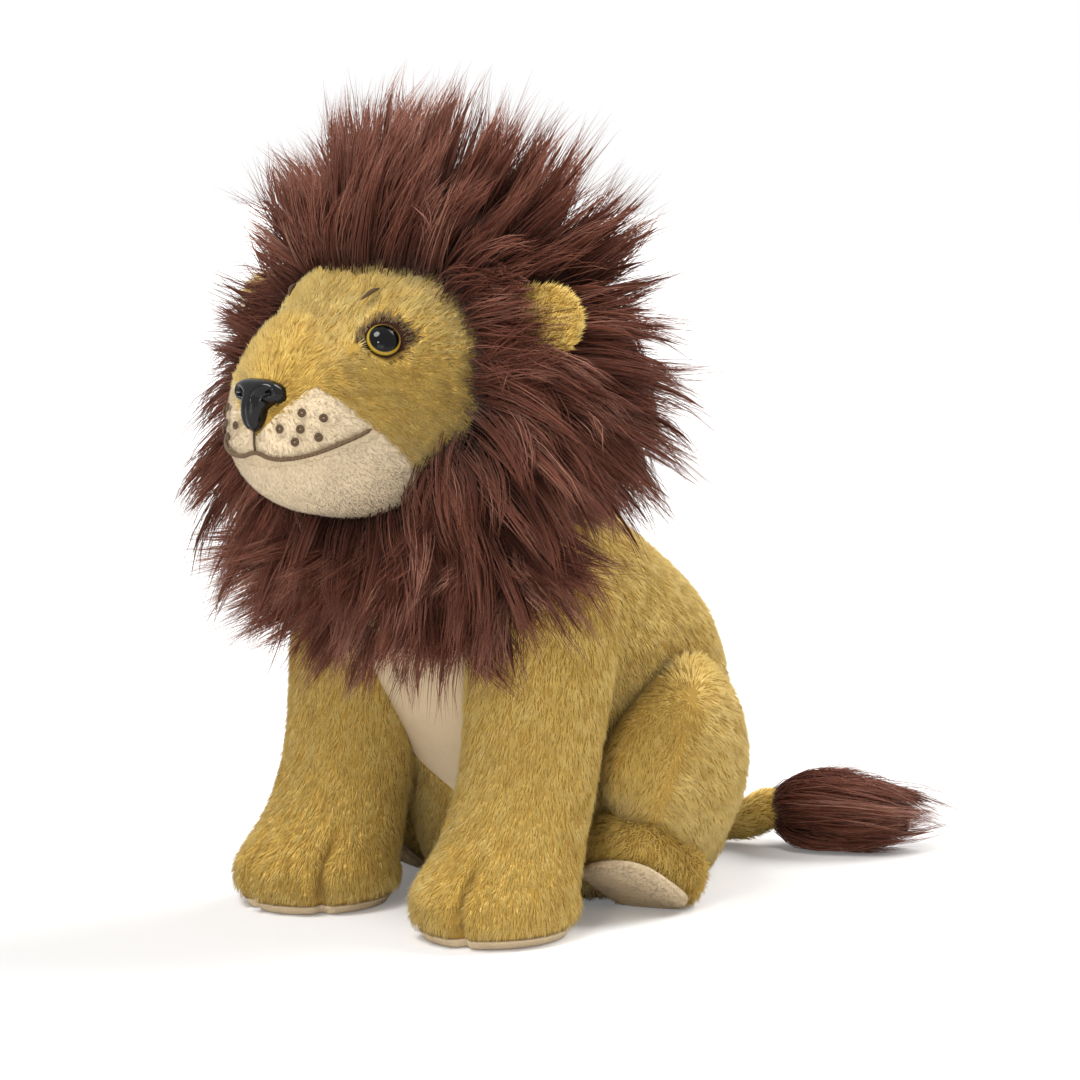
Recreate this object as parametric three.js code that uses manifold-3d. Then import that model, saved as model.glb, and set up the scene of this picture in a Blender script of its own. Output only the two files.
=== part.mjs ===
// A sitting plush lion in millimetres. X points to the lion's left, -Y the way it faces and +Z up, with the
// origin on the floor under its seat. Every stuffed piece is a cloth cover round a separate filling.
import * as THREE from "three";
import { mergeVertices } from "three/addons/utils/BufferGeometryUtils.js";
import Module from "manifold-3d";

const wasm = await Module();
wasm.setup();

// Cloth and sewing
const CLOTH = 1.6; // plush cloth, backing and pressed pile
const CLEARANCE = 0.4; // gap left between neighbouring pieces

// Torso, from the flat seat up to the neck
const TORSO_HEIGHT = 112;
const SEAT_WIDTH = 66;
const SEAT_DEPTH = 74;
const HIP_HEIGHT = 34;
const HIP_WIDTH = 90;
const HIP_DEPTH = 107;
const CHEST_HEIGHT = 78;
const CHEST_WIDTH = 86;
const CHEST_DEPTH = 111;
const CHEST_FORWARD = 12.5;
const NECK_WIDTH = 66;
const NECK_DEPTH = 72;
const NECK_FORWARD = 38;
const BELLY_PANEL_WIDTH = 52;
const BELLY_PANEL_FOOT = 32; // height of the panel's pointed end

// Front legs
const FRONT_LEG_SPREAD = 33; // from the middle to each leg's centre
const FRONT_LEG_TOP = 102;
const FRONT_LEG_WIDTH = 39;
const SHOULDER_FORWARD = 47;
const PAW_FORWARD = 71;
const PAW_WIDTH = 46;
const PAW_LENGTH = 50;
const PAW_HEIGHT = 26;
const SHOULDER_PIVOT = 104; // height of the line that each front leg spreads about
const SHOULDER_SEAM = 18; // from the middle to that line
const FRONT_LEG_TURN = 12; // degrees of spread

// Hind legs
const THIGH_SPREAD = 46;
const THIGH_FORWARD = 8;
const THIGH_HEIGHT = 71;
const THIGH_FOOT = 9;
const THIGH_LENGTH = 64;
const THIGH_WIDTH = 29;
const FOOT_SPREAD = 48;
const FOOT_LENGTH = 39;
const FOOT_WIDTH = 26;
const FOOT_DEPTH = 24;
const FOOT_LIFT = 33; // degrees that the toes are raised
const HEEL_BACK = -9;
const HEEL_PRESS = 5; // depth by which the floor flattens the heel
const FOOT_TURN = 4; // degrees that the toes point inward
const FOOT_ROLL = 14; // degrees that the sole leans outward
const SOLE = 2.4; // thickness of each sole pad

// Head, with its sections counted back from the tip of the muzzle
const MUZZLE_TIP = 129; // forward of the seat's middle
const HEAD_LENGTH = 94;
const HEAD_HEIGHT = 75.6; // from its base on the neck to the crown
const CHEEK_WIDTH = 80;
const MUZZLE_WIDTH = 50;
const CHEEK_SEAM_BACK = 17;
const CHEEK_SEAM_RISE = 30.6; // above the head's base
const CHEEK_SEAM_SLOPE = 43; // degrees
const BRIDGE_RISE = 25.6; // above the base, where the bridge of the nose comes to a point
const BRIDGE_SPREAD = 47; // degrees from the middle to each edge of the bridge
const CHIN_SEAM_RISE = 18.6; // above the base
const MOUTH_WIDTH = 49;
const MOUTH_THREAD = 1.3;

// Eyes and nose
const EYE_DIAMETER = 10;
const EYE_DOME = 3.2;
const EYE_BACK = 27.5; // behind the tip of the muzzle
const EYE_TURN = 32.5; // degrees round the head, up from its widest line
const EYE_SINK = 1.1;
const POST_DIAMETER = 3;
const POST_LENGTH = 8;
const WASHER_DIAMETER = 11;
const WASHER_THICKNESS = 1.2;
const NOSE_WIDTH = 16.5;
const NOSE_HEIGHT = 14;
const NOSE_THICKNESS = 5.5;
const NOSE_RISE = 34.1; // above the head's base
const NOSE_TILT = 24; // degrees that the nose leans back
const NOSE_SINK = 1.1;

// Ears
const EAR_WIDTH = 25;
const EAR_LENGTH = 21;
const EAR_THICKNESS = 6;
const EAR_BACK = 60; // behind the tip of the muzzle
const EAR_TURN = 20; // degrees round the head
const EAR_FOLD = 10; // degrees each way
const EAR_PARTING = 32; // degrees of open hair in front of an ear

// Mane
const MANE_FRONT = 46; // behind the tip of the muzzle
const MANE_DEPTH = 87;
const MANE_RISE = 36.6; // from the head's base to the middle of the mane
const MANE_WIDTH = 140;
const MANE_HEIGHT = 152;
const MANE_LOCKS = 17;
const LOCK_DEPTH = 0.15; // part of the radius
const MANE_PEAK = 9; // how much further forward the hair starts over the brow
const BEARD_LEAN = 0.5; // forward run of the hanging hair for each unit that it falls
const RUFF_BACK = 56; // forward of the seat's middle

// Tail
const TAIL_DIAMETER = 14;
const TAIL_LEVEL = 7.6;
const TAIL_LENGTH = 15.5;
const TUFT_DIAMETER = 28;
const TUFT_LENGTH = 52;

// What follows from those sizes
const HEAD_BASE = TORSO_HEIGHT + CLEARANCE;
const HEAD_TOP = HEAD_BASE + HEAD_HEIGHT;
const CHEEK_SEAM_HEIGHT = HEAD_BASE + CHEEK_SEAM_RISE;
const BRIDGE_FOOT = HEAD_BASE + BRIDGE_RISE;
const CHIN_SEAM_HEIGHT = HEAD_BASE + CHIN_SEAM_RISE;
const NOSE_LEVEL = HEAD_BASE + NOSE_RISE;
const MANE_LEVEL = HEAD_BASE + MANE_RISE;
const LINING = CLOTH + CLEARANCE;
const REACH = 400; // longer than the whole lion
const turn = THREE.MathUtils.degToRad;

/** Smooth curve through [place, value] knots, held level past both ends. */
function through(knots) {
  const last = knots.length - 1;
  const slope = (k) => {
    const [from, to] = [knots[Math.max(k - 1, 0)], knots[Math.min(k + 1, last)]];
    return (to[1] - from[1]) / (to[0] - from[0]);
  };
  return (place) => {
    if (place <= knots[0][0]) return knots[0][1];
    if (place >= knots[last][0]) return knots[last][1];
    const k = knots.findIndex((knot) => knot[0] > place) - 1;
    const span = knots[k + 1][0] - knots[k][0];
    const u = (place - knots[k][0]) / span;
    const [start, end] = [knots[k][1], knots[k + 1][1]];
    const bend = u * (1 - u) * span * (slope(k) * (1 - u) - slope(k + 1) * u);
    return start + (end - start) * u * u * (3 - 2 * u) + bend;
  };
}

/** Even steps from one value to another, both ends included. */
const steps = (from, to, count) =>
  Array.from({ length: count + 1 }, (_, k) => from + ((to - from) * k) / count);

/** Angles of one ring with this many sides. */
const angles = (sides) => Array.from({ length: sides }, (_, k) => (2 * Math.PI * k) / sides);

/** Closed geometry over rings of points, with a fan over each end ring. */
function skin(rings) {
  const count = rings[0].length;
  const points = rings.flat();
  const faces = [];
  for (let level = 0; level + 1 < rings.length; level += 1) {
    for (let k = 0; k < count; k += 1) {
      const [a, b] = [level * count + k, level * count + ((k + 1) % count)];
      faces.push(a, b, a + count, b, b + count, a + count);
    }
  }
  for (const level of [0, rings.length - 1]) {
    const middle = points.length;
    points.push(rings[level].reduce((sum, p) => sum.add(p), new THREE.Vector3()).divideScalar(count));
    for (let k = 0; k < count; k += 1) {
      const [a, b] = [level * count + k, level * count + ((k + 1) % count)];
      faces.push(middle, level ? a : b, level ? b : a);
    }
  }
  return new THREE.BufferGeometry().setFromPoints(points).setIndex(faces);
}

/** Solid inside a closed geometry, turned outward if its faces point in. */
function solid(geometry) {
  const bare = geometry.clone();
  bare.deleteAttribute("normal");
  bare.deleteAttribute("uv");
  const merged = mergeVertices(bare, 1e-4);
  const place = merged.attributes.position;
  const index = Array.from(merged.index.array);
  const corner = [new THREE.Vector3(), new THREE.Vector3(), new THREE.Vector3()];
  const faces = [];
  let volume = 0;
  for (let k = 0; k < index.length; k += 3) {
    const face = index.slice(k, k + 3);
    if (new Set(face).size === 3) {
      face.forEach((vertex, side) => corner[side].fromBufferAttribute(place, vertex));
      volume += corner[0].dot(corner[1].clone().cross(corner[2]));
      faces.push(face);
    }
  }
  const outward = volume > 0 ? faces : faces.map(([a, b, c]) => [a, c, b]);
  const mesh = new wasm.Mesh({
    numProp: 3,
    vertProperties: new Float32Array(place.array),
    triVerts: new Uint32Array(outward.flat()),
  });
  mesh.merge();
  return new wasm.Manifold(mesh);
}

const cut = (body, ...tools) => tools.reduce((left, tool) => left.subtract(tool), body);
const join = (...bodies) => bodies.reduce((whole, body) => whole.add(body));
const keep = (body, ...tools) => tools.reduce((left, tool) => left.intersect(tool), body);

/** Named piece of the lion from its solid. */
function piece(name, body, look) {
  const mesh = body.getMesh();
  const geometry = new THREE.BufferGeometry();
  geometry.setAttribute("position", new THREE.BufferAttribute(new Float32Array(mesh.vertProperties), 3));
  geometry.setIndex(new THREE.BufferAttribute(new Uint32Array(mesh.triVerts), 1));
  geometry.computeVertexNormals();
  const made = new THREE.Mesh(geometry, new THREE.MeshStandardMaterial(look));
  made.name = name;
  return made;
}

/** Everything on the far side of a plane from where its normal points. */
function halfSpace(point, normal) {
  const block = new THREE.BoxGeometry(REACH, REACH, REACH).translate(0, 0, -REACH / 2);
  const lean = new THREE.Quaternion();
  lean.setFromUnitVectors(new THREE.Vector3(0, 0, 1), normal.clone().normalize());
  return solid(block.applyQuaternion(lean).translate(point.x, point.y, point.z));
}

const below = (height) => halfSpace(new THREE.Vector3(0, 0, height), new THREE.Vector3(0, 0, 1));
const above = (height) => halfSpace(new THREE.Vector3(0, 0, height), new THREE.Vector3(0, 0, -1));

/** Solid of level oval sections, each grown by the same amount. */
function upright(sectionAt, heights, sides, grow) {
  const rings = heights.map((height) => {
    const { x, y, wide, deep } = sectionAt(height);
    const [a, b] = [Math.max(wide / 2 + grow, 0.05), Math.max(deep / 2 + grow, 0.05)];
    return angles(sides).map((t) => new THREE.Vector3(x + a * Math.cos(t), y + b * Math.sin(t), height));
  });
  return solid(skin(rings));
}

// Torso
const torsoWidth = through([
  [HIP_HEIGHT, HIP_WIDTH], [CHEST_HEIGHT, CHEST_WIDTH], [TORSO_HEIGHT, NECK_WIDTH],
]);
const torsoDepth = through([
  [HIP_HEIGHT, HIP_DEPTH], [CHEST_HEIGHT, CHEST_DEPTH], [TORSO_HEIGHT, NECK_DEPTH],
]);
const torsoForward = through([
  [HIP_HEIGHT, -3], [CHEST_HEIGHT, CHEST_FORWARD], [TORSO_HEIGHT, NECK_FORWARD],
]);

/** Oval section of the torso: a quarter round from the flat seat to the hips, then smooth to the neck. */
function torsoSection(height) {
  const drop = Math.max(1 - height / HIP_HEIGHT, 0);
  const round = Math.sqrt(Math.max(1 - drop * drop, 0));
  const wide = height < HIP_HEIGHT ? SEAT_WIDTH + (HIP_WIDTH - SEAT_WIDTH) * round : torsoWidth(height);
  const deep = height < HIP_HEIGHT ? SEAT_DEPTH + (HIP_DEPTH - SEAT_DEPTH) * round : torsoDepth(height);
  return { x: 0, y: -torsoForward(height), wide, deep };
}

const torsoHeights = (floor, ceiling, seatSteps, backSteps) => [
  ...steps(0, 1, seatSteps).map((t) => floor + (HIP_HEIGHT - floor) * (1 - Math.cos((t * Math.PI) / 2))),
  ...steps(HIP_HEIGHT, ceiling, backSteps).slice(1),
];
const torsoShape = (grow, floor, ceiling, sides = 28, seatSteps = 4, backSteps = 6) =>
  upright(torsoSection, torsoHeights(floor, ceiling, seatSteps, backSteps), sides, grow);

const torsoGrown = torsoShape(CLEARANCE, 0, TORSO_HEIGHT);
const torsoLining = torsoShape(-CLOTH, CLOTH, TORSO_HEIGHT + 1, 20, 3, 4);
const torsoShell = cut(torsoShape(0, 0, TORSO_HEIGHT), torsoLining);
const torsoFilling = torsoShape(-LINING, LINING, TORSO_HEIGHT, 20, 3, 4);

/** Wedge through the front of the torso that the belly panel is cut with. */
function bellyWedge(grow) {
  const half = BELLY_PANEL_WIDTH / 2 + grow;
  const outline = new THREE.Shape([
    new THREE.Vector2(0, BELLY_PANEL_FOOT - grow),
    new THREE.Vector2(half * 0.72, BELLY_PANEL_FOOT + 12 - grow),
    new THREE.Vector2(half, BELLY_PANEL_FOOT + 34),
    new THREE.Vector2(half, REACH),
    new THREE.Vector2(-half, REACH),
    new THREE.Vector2(-half, BELLY_PANEL_FOOT + 34),
    new THREE.Vector2(-half * 0.72, BELLY_PANEL_FOOT + 12 - grow),
  ]);
  const wedge = new THREE.ExtrudeGeometry(outline, { depth: REACH, bevelEnabled: false });
  return solid(wedge.rotateX(Math.PI / 2).translate(0, -NECK_FORWARD, 0));
}

const bellyPanel = keep(torsoShell, bellyWedge(0));
const torsoCover = cut(torsoShell, bellyWedge(CLEARANCE));

// Front legs
const legForward = through([
  [PAW_HEIGHT * 0.5, PAW_FORWARD],
  [PAW_HEIGHT, PAW_FORWARD - 8],
  [PAW_HEIGHT * 1.7, PAW_FORWARD - 14.5],
  [FRONT_LEG_TOP, SHOULDER_FORWARD],
]);
const legWidth = through([
  [0, PAW_WIDTH - 8],
  [PAW_HEIGHT * 0.3, PAW_WIDTH],
  [PAW_HEIGHT, FRONT_LEG_WIDTH + 1.5],
  [PAW_HEIGHT * 1.7, FRONT_LEG_WIDTH],
  [FRONT_LEG_TOP * 0.8, FRONT_LEG_WIDTH + 2],
  [FRONT_LEG_TOP * 0.93, FRONT_LEG_WIDTH * 0.78],
  [FRONT_LEG_TOP, 0],
]);
const legDepth = through([
  [0, PAW_LENGTH - 9],
  [PAW_HEIGHT * 0.3, PAW_LENGTH],
  [PAW_HEIGHT, FRONT_LEG_WIDTH + 2],
  [PAW_HEIGHT * 1.7, FRONT_LEG_WIDTH],
  [FRONT_LEG_TOP * 0.8, FRONT_LEG_WIDTH + 3],
  [FRONT_LEG_TOP * 0.93, FRONT_LEG_WIDTH * 0.8],
  [FRONT_LEG_TOP, 0],
]);

/** One front leg from the paw to the rounded shoulder, grown and cut level at the floor height given. */
function frontLegShape(side, grow, floor, sides, levels) {
  const section = (height) => {
    const within = Math.min(height, FRONT_LEG_TOP);
    return {
      x: side * FRONT_LEG_SPREAD,
      y: -legForward(within),
      wide: legWidth(within),
      deep: legDepth(within),
    };
  };
  const heights = [
    ...steps(floor, PAW_HEIGHT, levels),
    ...steps(PAW_HEIGHT, FRONT_LEG_TOP * 0.86, levels).slice(1),
    FRONT_LEG_TOP * 0.93 + grow,
    FRONT_LEG_TOP * 0.975 + grow,
    FRONT_LEG_TOP + grow,
  ];
  return upright(section, heights, sides, grow);
}

/** The room that one front leg sweeps while it spreads. */
function frontLegSweep(side) {
  const leg = frontLegShape(side, 2 * CLEARANCE, -1, 18, 4);
  const poses = steps(0, FRONT_LEG_TURN + 1, 4).map((angle) => {
    const move = new THREE.Matrix4()
      .makeTranslation(side * SHOULDER_SEAM, 0, SHOULDER_PIVOT)
      .multiply(new THREE.Matrix4().makeRotationY(-side * turn(angle)))
      .multiply(new THREE.Matrix4().makeTranslation(-side * SHOULDER_SEAM, 0, -SHOULDER_PIVOT));
    return leg.transform(move.elements);
  });
  return join(...poses);
}

function frontLeg(side) {
  const whole = frontLegShape(side, 0, 0, 18, 4);
  const lining = frontLegShape(side, -CLOTH, -1, 12, 3);
  const filling = frontLegShape(side, -LINING, -1, 12, 3);
  return {
    cover: cut(keep(whole, above(SOLE + CLEARANCE)), lining, torsoGrown),
    filling: cut(keep(filling, above(SOLE + 2 * CLEARANCE)), torsoGrown),
    sole: keep(whole, below(SOLE)),
  };
}

// Hind legs
const thighForward = through([
  [0, THIGH_FORWARD - 3], [THIGH_HEIGHT * 0.6, THIGH_FORWARD], [THIGH_HEIGHT, THIGH_FORWARD - 7],
]);

/** Upright egg of one thigh, narrow at the heel and full near the top. */
function thighShape(side, grow, sides, levels) {
  const section = (t) => {
    const fullness = Math.sin(Math.PI * Math.pow(t, 0.82)) ** 0.62;
    const low = 1 - 0.38 * (1 - t) ** 2;
    const height = THIGH_FOOT + (THIGH_HEIGHT - THIGH_FOOT) * t;
    const [deep, wide] = [THIGH_LENGTH * fullness * low, THIGH_WIDTH * fullness];
    return { height, y: -thighForward(height), deep, wide };
  };
  const rings = steps(0, 1, levels).map((t) => {
    const { height, y, deep, wide } = section(t);
    const lift = height + grow * (2 * t - 1);
    const [a, b] = [Math.max(wide / 2 + grow, 0.05), Math.max(deep / 2 + grow, 0.05)];
    const lean = side * THIGH_SPREAD;
    return angles(sides).map((p) => new THREE.Vector3(lean + a * Math.cos(p), y + b * Math.sin(p), lift));
  });
  return solid(skin(rings));
}

/** Matrix from the foot's own axes, heel at the origin and toes along -Y, to its place under the thigh. */
function footPlace(side) {
  return new THREE.Matrix4()
    .makeTranslation(side * FOOT_SPREAD, HEEL_BACK, -HEEL_PRESS)
    .multiply(new THREE.Matrix4().makeRotationZ(-side * turn(FOOT_TURN)))
    .multiply(new THREE.Matrix4().makeRotationX(-turn(FOOT_LIFT)))
    .multiply(new THREE.Matrix4().makeRotationY(-side * turn(FOOT_ROLL)));
}

/** One hind foot lying along its sole, round at the heel and the toes. */
function footShape(side, grow, sides, levels) {
  const rings = steps(0, 1, levels).map((t) => {
    const round = Math.sqrt(Math.max(1 - (2 * t - 1) ** 4, 0));
    const along = -(FOOT_LENGTH + 2 * grow) * t + grow;
    const a = Math.max((FOOT_WIDTH / 2) * round + grow, 0.05);
    const b = Math.max((FOOT_DEPTH / 2) * round + grow, 0.05);
    const middle = FOOT_DEPTH / 2 - 2;
    return angles(sides).map((p) => new THREE.Vector3(a * Math.cos(p), along, middle + b * Math.sin(p)));
  });
  return solid(skin(rings).applyMatrix4(footPlace(side)));
}

/** The part of space above a foot's own sole plane raised by a height. */
function overSole(side, height) {
  const place = footPlace(side);
  const point = new THREE.Vector3(0, 0, height).applyMatrix4(place);
  return halfSpace(point, new THREE.Vector3(0, 0, -1).transformDirection(place));
}

function hindLeg(side) {
  const floor = above(0);
  const thigh = keep(thighShape(side, 0, 18, 8), floor);
  const foot = keep(footShape(side, 0, 14, 7), floor);
  const footGrown = footShape(side, CLEARANCE, 14, 7);
  const footLining = footShape(side, -CLOTH, 10, 5);
  const coverFoot = overSole(side, SOLE + CLEARANCE);
  const fillingFoot = overSole(side, SOLE + 2 * CLEARANCE);
  return {
    thigh: cut(thigh, thighShape(side, -CLOTH, 12, 6), footGrown, torsoGrown),
    thighFilling: cut(thighShape(side, -LINING, 12, 6), footGrown, torsoGrown),
    foot: cut(keep(foot, coverFoot), keep(footLining, above(CLOTH)), torsoGrown),
    footFilling: cut(keep(footShape(side, -LINING, 10, 5), fillingFoot, above(LINING)), torsoGrown),
    sole: cut(foot, overSole(side, SOLE), torsoGrown),
  };
}

// Head
const headWidth = through([
  [0, 0], [1.2, MUZZLE_WIDTH * 0.33], [4, MUZZLE_WIDTH * 0.6], [9, MUZZLE_WIDTH * 0.82],
  [17, MUZZLE_WIDTH], [25, (MUZZLE_WIDTH + CHEEK_WIDTH) * 0.465], [46, CHEEK_WIDTH * 0.975],
  [58, CHEEK_WIDTH], [73, CHEEK_WIDTH * 0.92], [86, CHEEK_WIDTH * 0.64],
  [HEAD_LENGTH - 2, CHEEK_WIDTH * 0.28], [HEAD_LENGTH, 0],
]);
const headTop = through([
  [0, HEAD_TOP - 48], [1.2, HEAD_TOP - 40], [3.5, HEAD_TOP - 33], [7, HEAD_TOP - 26], [13, HEAD_TOP - 19],
  [20, HEAD_TOP - 15.5], [27, HEAD_TOP - 11], [34, HEAD_TOP - 6], [46, HEAD_TOP - 2], [56, HEAD_TOP],
  [72, HEAD_TOP - 4], [85, HEAD_TOP - 15],
  [HEAD_LENGTH - 2, HEAD_TOP - 27], [HEAD_LENGTH, HEAD_TOP - 38],
]);
const headBottom = through([
  [0, HEAD_BASE + 23.6], [1.2, HEAD_BASE + 17.6], [4, HEAD_BASE + 12.1], [9, HEAD_BASE + 7.6],
  [17, HEAD_BASE + 4], [26, HEAD_BASE + 2], [36, HEAD_BASE], [48, HEAD_BASE - 2.5], [62, HEAD_BASE - 2.5],
  [74, HEAD_BASE + 2], [86, HEAD_BASE + 14],
  [HEAD_LENGTH - 2, HEAD_BASE + 25], [HEAD_LENGTH, HEAD_TOP - 40],
]);
const headPinch = through([[0, 0.2], [12, 0.2], [27, 0.36], [39, 0.14], [50, 0]]);
const HEAD_PLACES = [0, 1.2, 4, 9, 16, 24, 33, 44, 56, 68, 79, 87, HEAD_LENGTH - 2, HEAD_LENGTH];
const LINING_PLACES = [0, 1.2, 4, 9, 16, 25, 38, 54, 70, 83, HEAD_LENGTH - 2, HEAD_LENGTH];

/** Point of the head's skin, some way back from the muzzle and turned round from the left side upward. */
function headPoint(back, angle, grow = 0) {
  const [top, bottom] = [headTop(back) + grow, headBottom(back) - grow];
  const rise = Math.sin(angle);
  const narrow = 1 - headPinch(back) * ((1 + rise) / 2) ** 2;
  const half = Math.max(headWidth(back) / 2 + grow, 0.05) * narrow;
  const stretch = 1 + (2 * grow) / HEAD_LENGTH;
  const along = (back - HEAD_LENGTH / 2) * stretch + HEAD_LENGTH / 2 - MUZZLE_TIP;
  const height = (top + bottom) / 2 + (Math.max(top - bottom, 0.1) / 2) * rise;
  return new THREE.Vector3(half * Math.cos(angle), along, height);
}

const headShape = (grow, sides, places = HEAD_PLACES) =>
  solid(skin(places.map((back) => angles(sides).map((t) => headPoint(back, t, grow)))));

/** Place on the head with its outward direction. */
function headSpot(back, angle) {
  const point = headPoint(back, angle);
  const along = headPoint(back + 0.5, angle).sub(headPoint(back - 0.5, angle));
  const round = headPoint(back, angle + 0.02).sub(headPoint(back, angle - 0.02));
  const out = round.cross(along).normalize();
  const middle = headPoint(back, 0).setX(0);
  return { point, out: out.dot(point.clone().sub(middle)) < 0 ? out.negate() : out };
}

/** Place on the front of the head at a sideways distance and a height. */
function faceSpot(x, height) {
  const covers = (back) => {
    const [top, bottom] = [headTop(back), headBottom(back)];
    const rise = (2 * height - top - bottom) / (top - bottom);
    if (Math.abs(rise) >= 1) return false;
    return Math.abs(headPoint(back, Math.asin(rise)).x) > Math.abs(x);
  };
  const back = steps(0.05, HEAD_LENGTH / 2, 900).find(covers);
  return new THREE.Vector3(x, back - MUZZLE_TIP, height);
}

/** Space in front of the cheek seam and clear of the bridge of the nose, where the muzzle cloth is pale. */
function paleSpace(grow) {
  const tilt = turn(CHEEK_SEAM_SLOPE);
  const normal = new THREE.Vector3(0, Math.sin(tilt), Math.cos(tilt));
  const onSeam = new THREE.Vector3(0, CHEEK_SEAM_BACK - MUZZLE_TIP, CHEEK_SEAM_HEIGHT);
  const front = halfSpace(onSeam.addScaledVector(normal, grow), normal);
  const spread = Math.tan(turn(BRIDGE_SPREAD));
  const foot = BRIDGE_FOOT + grow / Math.sin(turn(BRIDGE_SPREAD));
  const outline = new THREE.Shape([
    new THREE.Vector2(0, foot),
    new THREE.Vector2(spread * REACH, foot + REACH),
    new THREE.Vector2(-spread * REACH, foot + REACH),
  ]);
  const bridge = new THREE.ExtrudeGeometry(outline, { depth: 2 * REACH, bevelEnabled: false });
  return cut(front, solid(bridge.rotateX(Math.PI / 2).translate(0, REACH, 0)));
}

/** Space under the seam between the muzzle and the chin. */
function chinSpace(grow) {
  const normal = new THREE.Vector3(0, -0.42, 1).normalize();
  const onSeam = new THREE.Vector3(0, 4 - MUZZLE_TIP, CHIN_SEAM_HEIGHT);
  return halfSpace(onSeam.addScaledVector(normal, grow), normal);
}

/** Moves something made at the origin, facing +Z, to a spot on the head, facing outward there. */
function facing(spot, sink) {
  const place = new THREE.Matrix4().makeRotationFromQuaternion(
    new THREE.Quaternion().setFromUnitVectors(new THREE.Vector3(0, 0, 1), spot.out),
  );
  return place.setPosition(spot.point.clone().addScaledVector(spot.out, -sink));
}

/** Round piece from [radius, height] corners, with its axis along Z. */
function lathe(outline, sides) {
  const corners = outline.map(([radius, height]) => new THREE.Vector2(radius, height));
  return new THREE.LatheGeometry(corners, sides).rotateX(Math.PI / 2);
}

/** Domed eye with its post, facing +Z with the cloth at zero. */
function eyeForm(grow) {
  const [rim, post] = [EYE_DIAMETER / 2 + grow, POST_DIAMETER / 2 + grow];
  const end = -POST_LENGTH - grow;
  const dome = steps(0, Math.PI / 2, 4).map((t) => [rim * Math.cos(t), 0.6 + EYE_DOME * Math.sin(t)]);
  dome[dome.length - 1][0] = 0;
  return lathe([[0, end], [post, end], [post, -grow], [rim, -grow], ...dome], 14);
}

/** Locking washer round a post, with its face toward the cloth at zero. */
function washerForm(grow) {
  const [bore, rim] = [POST_DIAMETER / 2 + CLEARANCE / 2, WASHER_DIAMETER / 2 + grow];
  const [near, far] = [grow, -WASHER_THICKNESS - grow];
  return lathe([[bore, far], [rim, far], [rim, near], [bore, near], [bore, far]], 14);
}

/** Nose pad, broad at the top and drawn to a stem, with its post, facing +Z. */
function noseForm(grow) {
  const [w, h] = [NOSE_WIDTH / 2 + grow, NOSE_HEIGHT / 2 + grow];
  const outline = new THREE.Shape();
  outline.moveTo(0, -h);
  outline.bezierCurveTo(w * 0.3, -h, w * 0.28, -h * 0.5, w * 0.62, -h * 0.22);
  outline.bezierCurveTo(w * 0.98, h * 0.02, w * 1.08, h * 0.6, w * 0.72, h * 0.86);
  outline.bezierCurveTo(w * 0.45, h * 1.04, w * 0.2, h, 0, h);
  outline.bezierCurveTo(-w * 0.2, h, -w * 0.45, h * 1.04, -w * 0.72, h * 0.86);
  outline.bezierCurveTo(-w * 1.08, h * 0.6, -w * 0.98, h * 0.02, -w * 0.62, -h * 0.22);
  outline.bezierCurveTo(-w * 0.28, -h * 0.5, -w * 0.3, -h, 0, -h);
  const bevel = NOSE_THICKNESS * 0.45;
  const pad = new THREE.ExtrudeGeometry(outline, {
    depth: NOSE_THICKNESS - bevel + grow, curveSegments: 4, bevelSegments: 2, bevelThickness: bevel,
    bevelSize: bevel * 0.8, bevelOffset: -bevel * 0.8,
  });
  const front = keep(solid(pad.translate(0, 0, -grow)), above(-grow));
  const post = POST_DIAMETER / 2 + grow;
  const back = -POST_LENGTH - grow;
  return join(front, solid(lathe([[0, back], [post, back], [post, 1], [0, 1]], 14)));
}

const mouthPoints = steps(-1, 1, 14).map((t) => {
  const height = CHIN_SEAM_HEIGHT + 1.5 + 7.5 * t * t + 1.4 * Math.exp(-(((t * MOUTH_WIDTH) / 9) ** 2));
  const spot = faceSpot((t * MOUTH_WIDTH) / 2, height);
  const middle = new THREE.Vector3(0, (MOUTH_WIDTH - MUZZLE_TIP * 2) / 2, height + 2);
  return spot.add(spot.clone().sub(middle).setLength(MOUTH_THREAD / 2 + CLEARANCE));
});
const mouthThread = new THREE.Shape(
  angles(5).map((t) => new THREE.Vector2(Math.cos(t), Math.sin(t)).multiplyScalar(MOUTH_THREAD / 2)),
);
const mouthPath = new THREE.CatmullRomCurve3(mouthPoints);
const mouthLine = solid(
  new THREE.ExtrudeGeometry(mouthThread, { steps: 20, bevelEnabled: false, extrudePath: mouthPath }),
);

/** Angle round the head on the given side, up from that side's widest line. */
const sideTurn = (side, degrees) => (side > 0 ? turn(degrees) : Math.PI - turn(degrees));

const eyePlace = (side) => facing(headSpot(EYE_BACK, sideTurn(side, EYE_TURN)), EYE_SINK);
const nosePoint = faceSpot(0, NOSE_LEVEL);
const noseOut = new THREE.Vector3(0, -Math.cos(turn(NOSE_TILT)), Math.sin(turn(NOSE_TILT)));
const nosePlace = new THREE.Matrix4()
  .makeTranslation(...nosePoint.addScaledVector(noseOut, -NOSE_SINK).toArray())
  .multiply(new THREE.Matrix4().makeRotationX(Math.PI / 2 - turn(NOSE_TILT)));

const WASHER_SEAT = CLOTH + 3 * CLEARANCE; // how far under the cloth's face a washer starts
const washerSunk = (grow, sunk) => washerForm(grow).translate(0, 0, -WASHER_SEAT + sunk);

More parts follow.
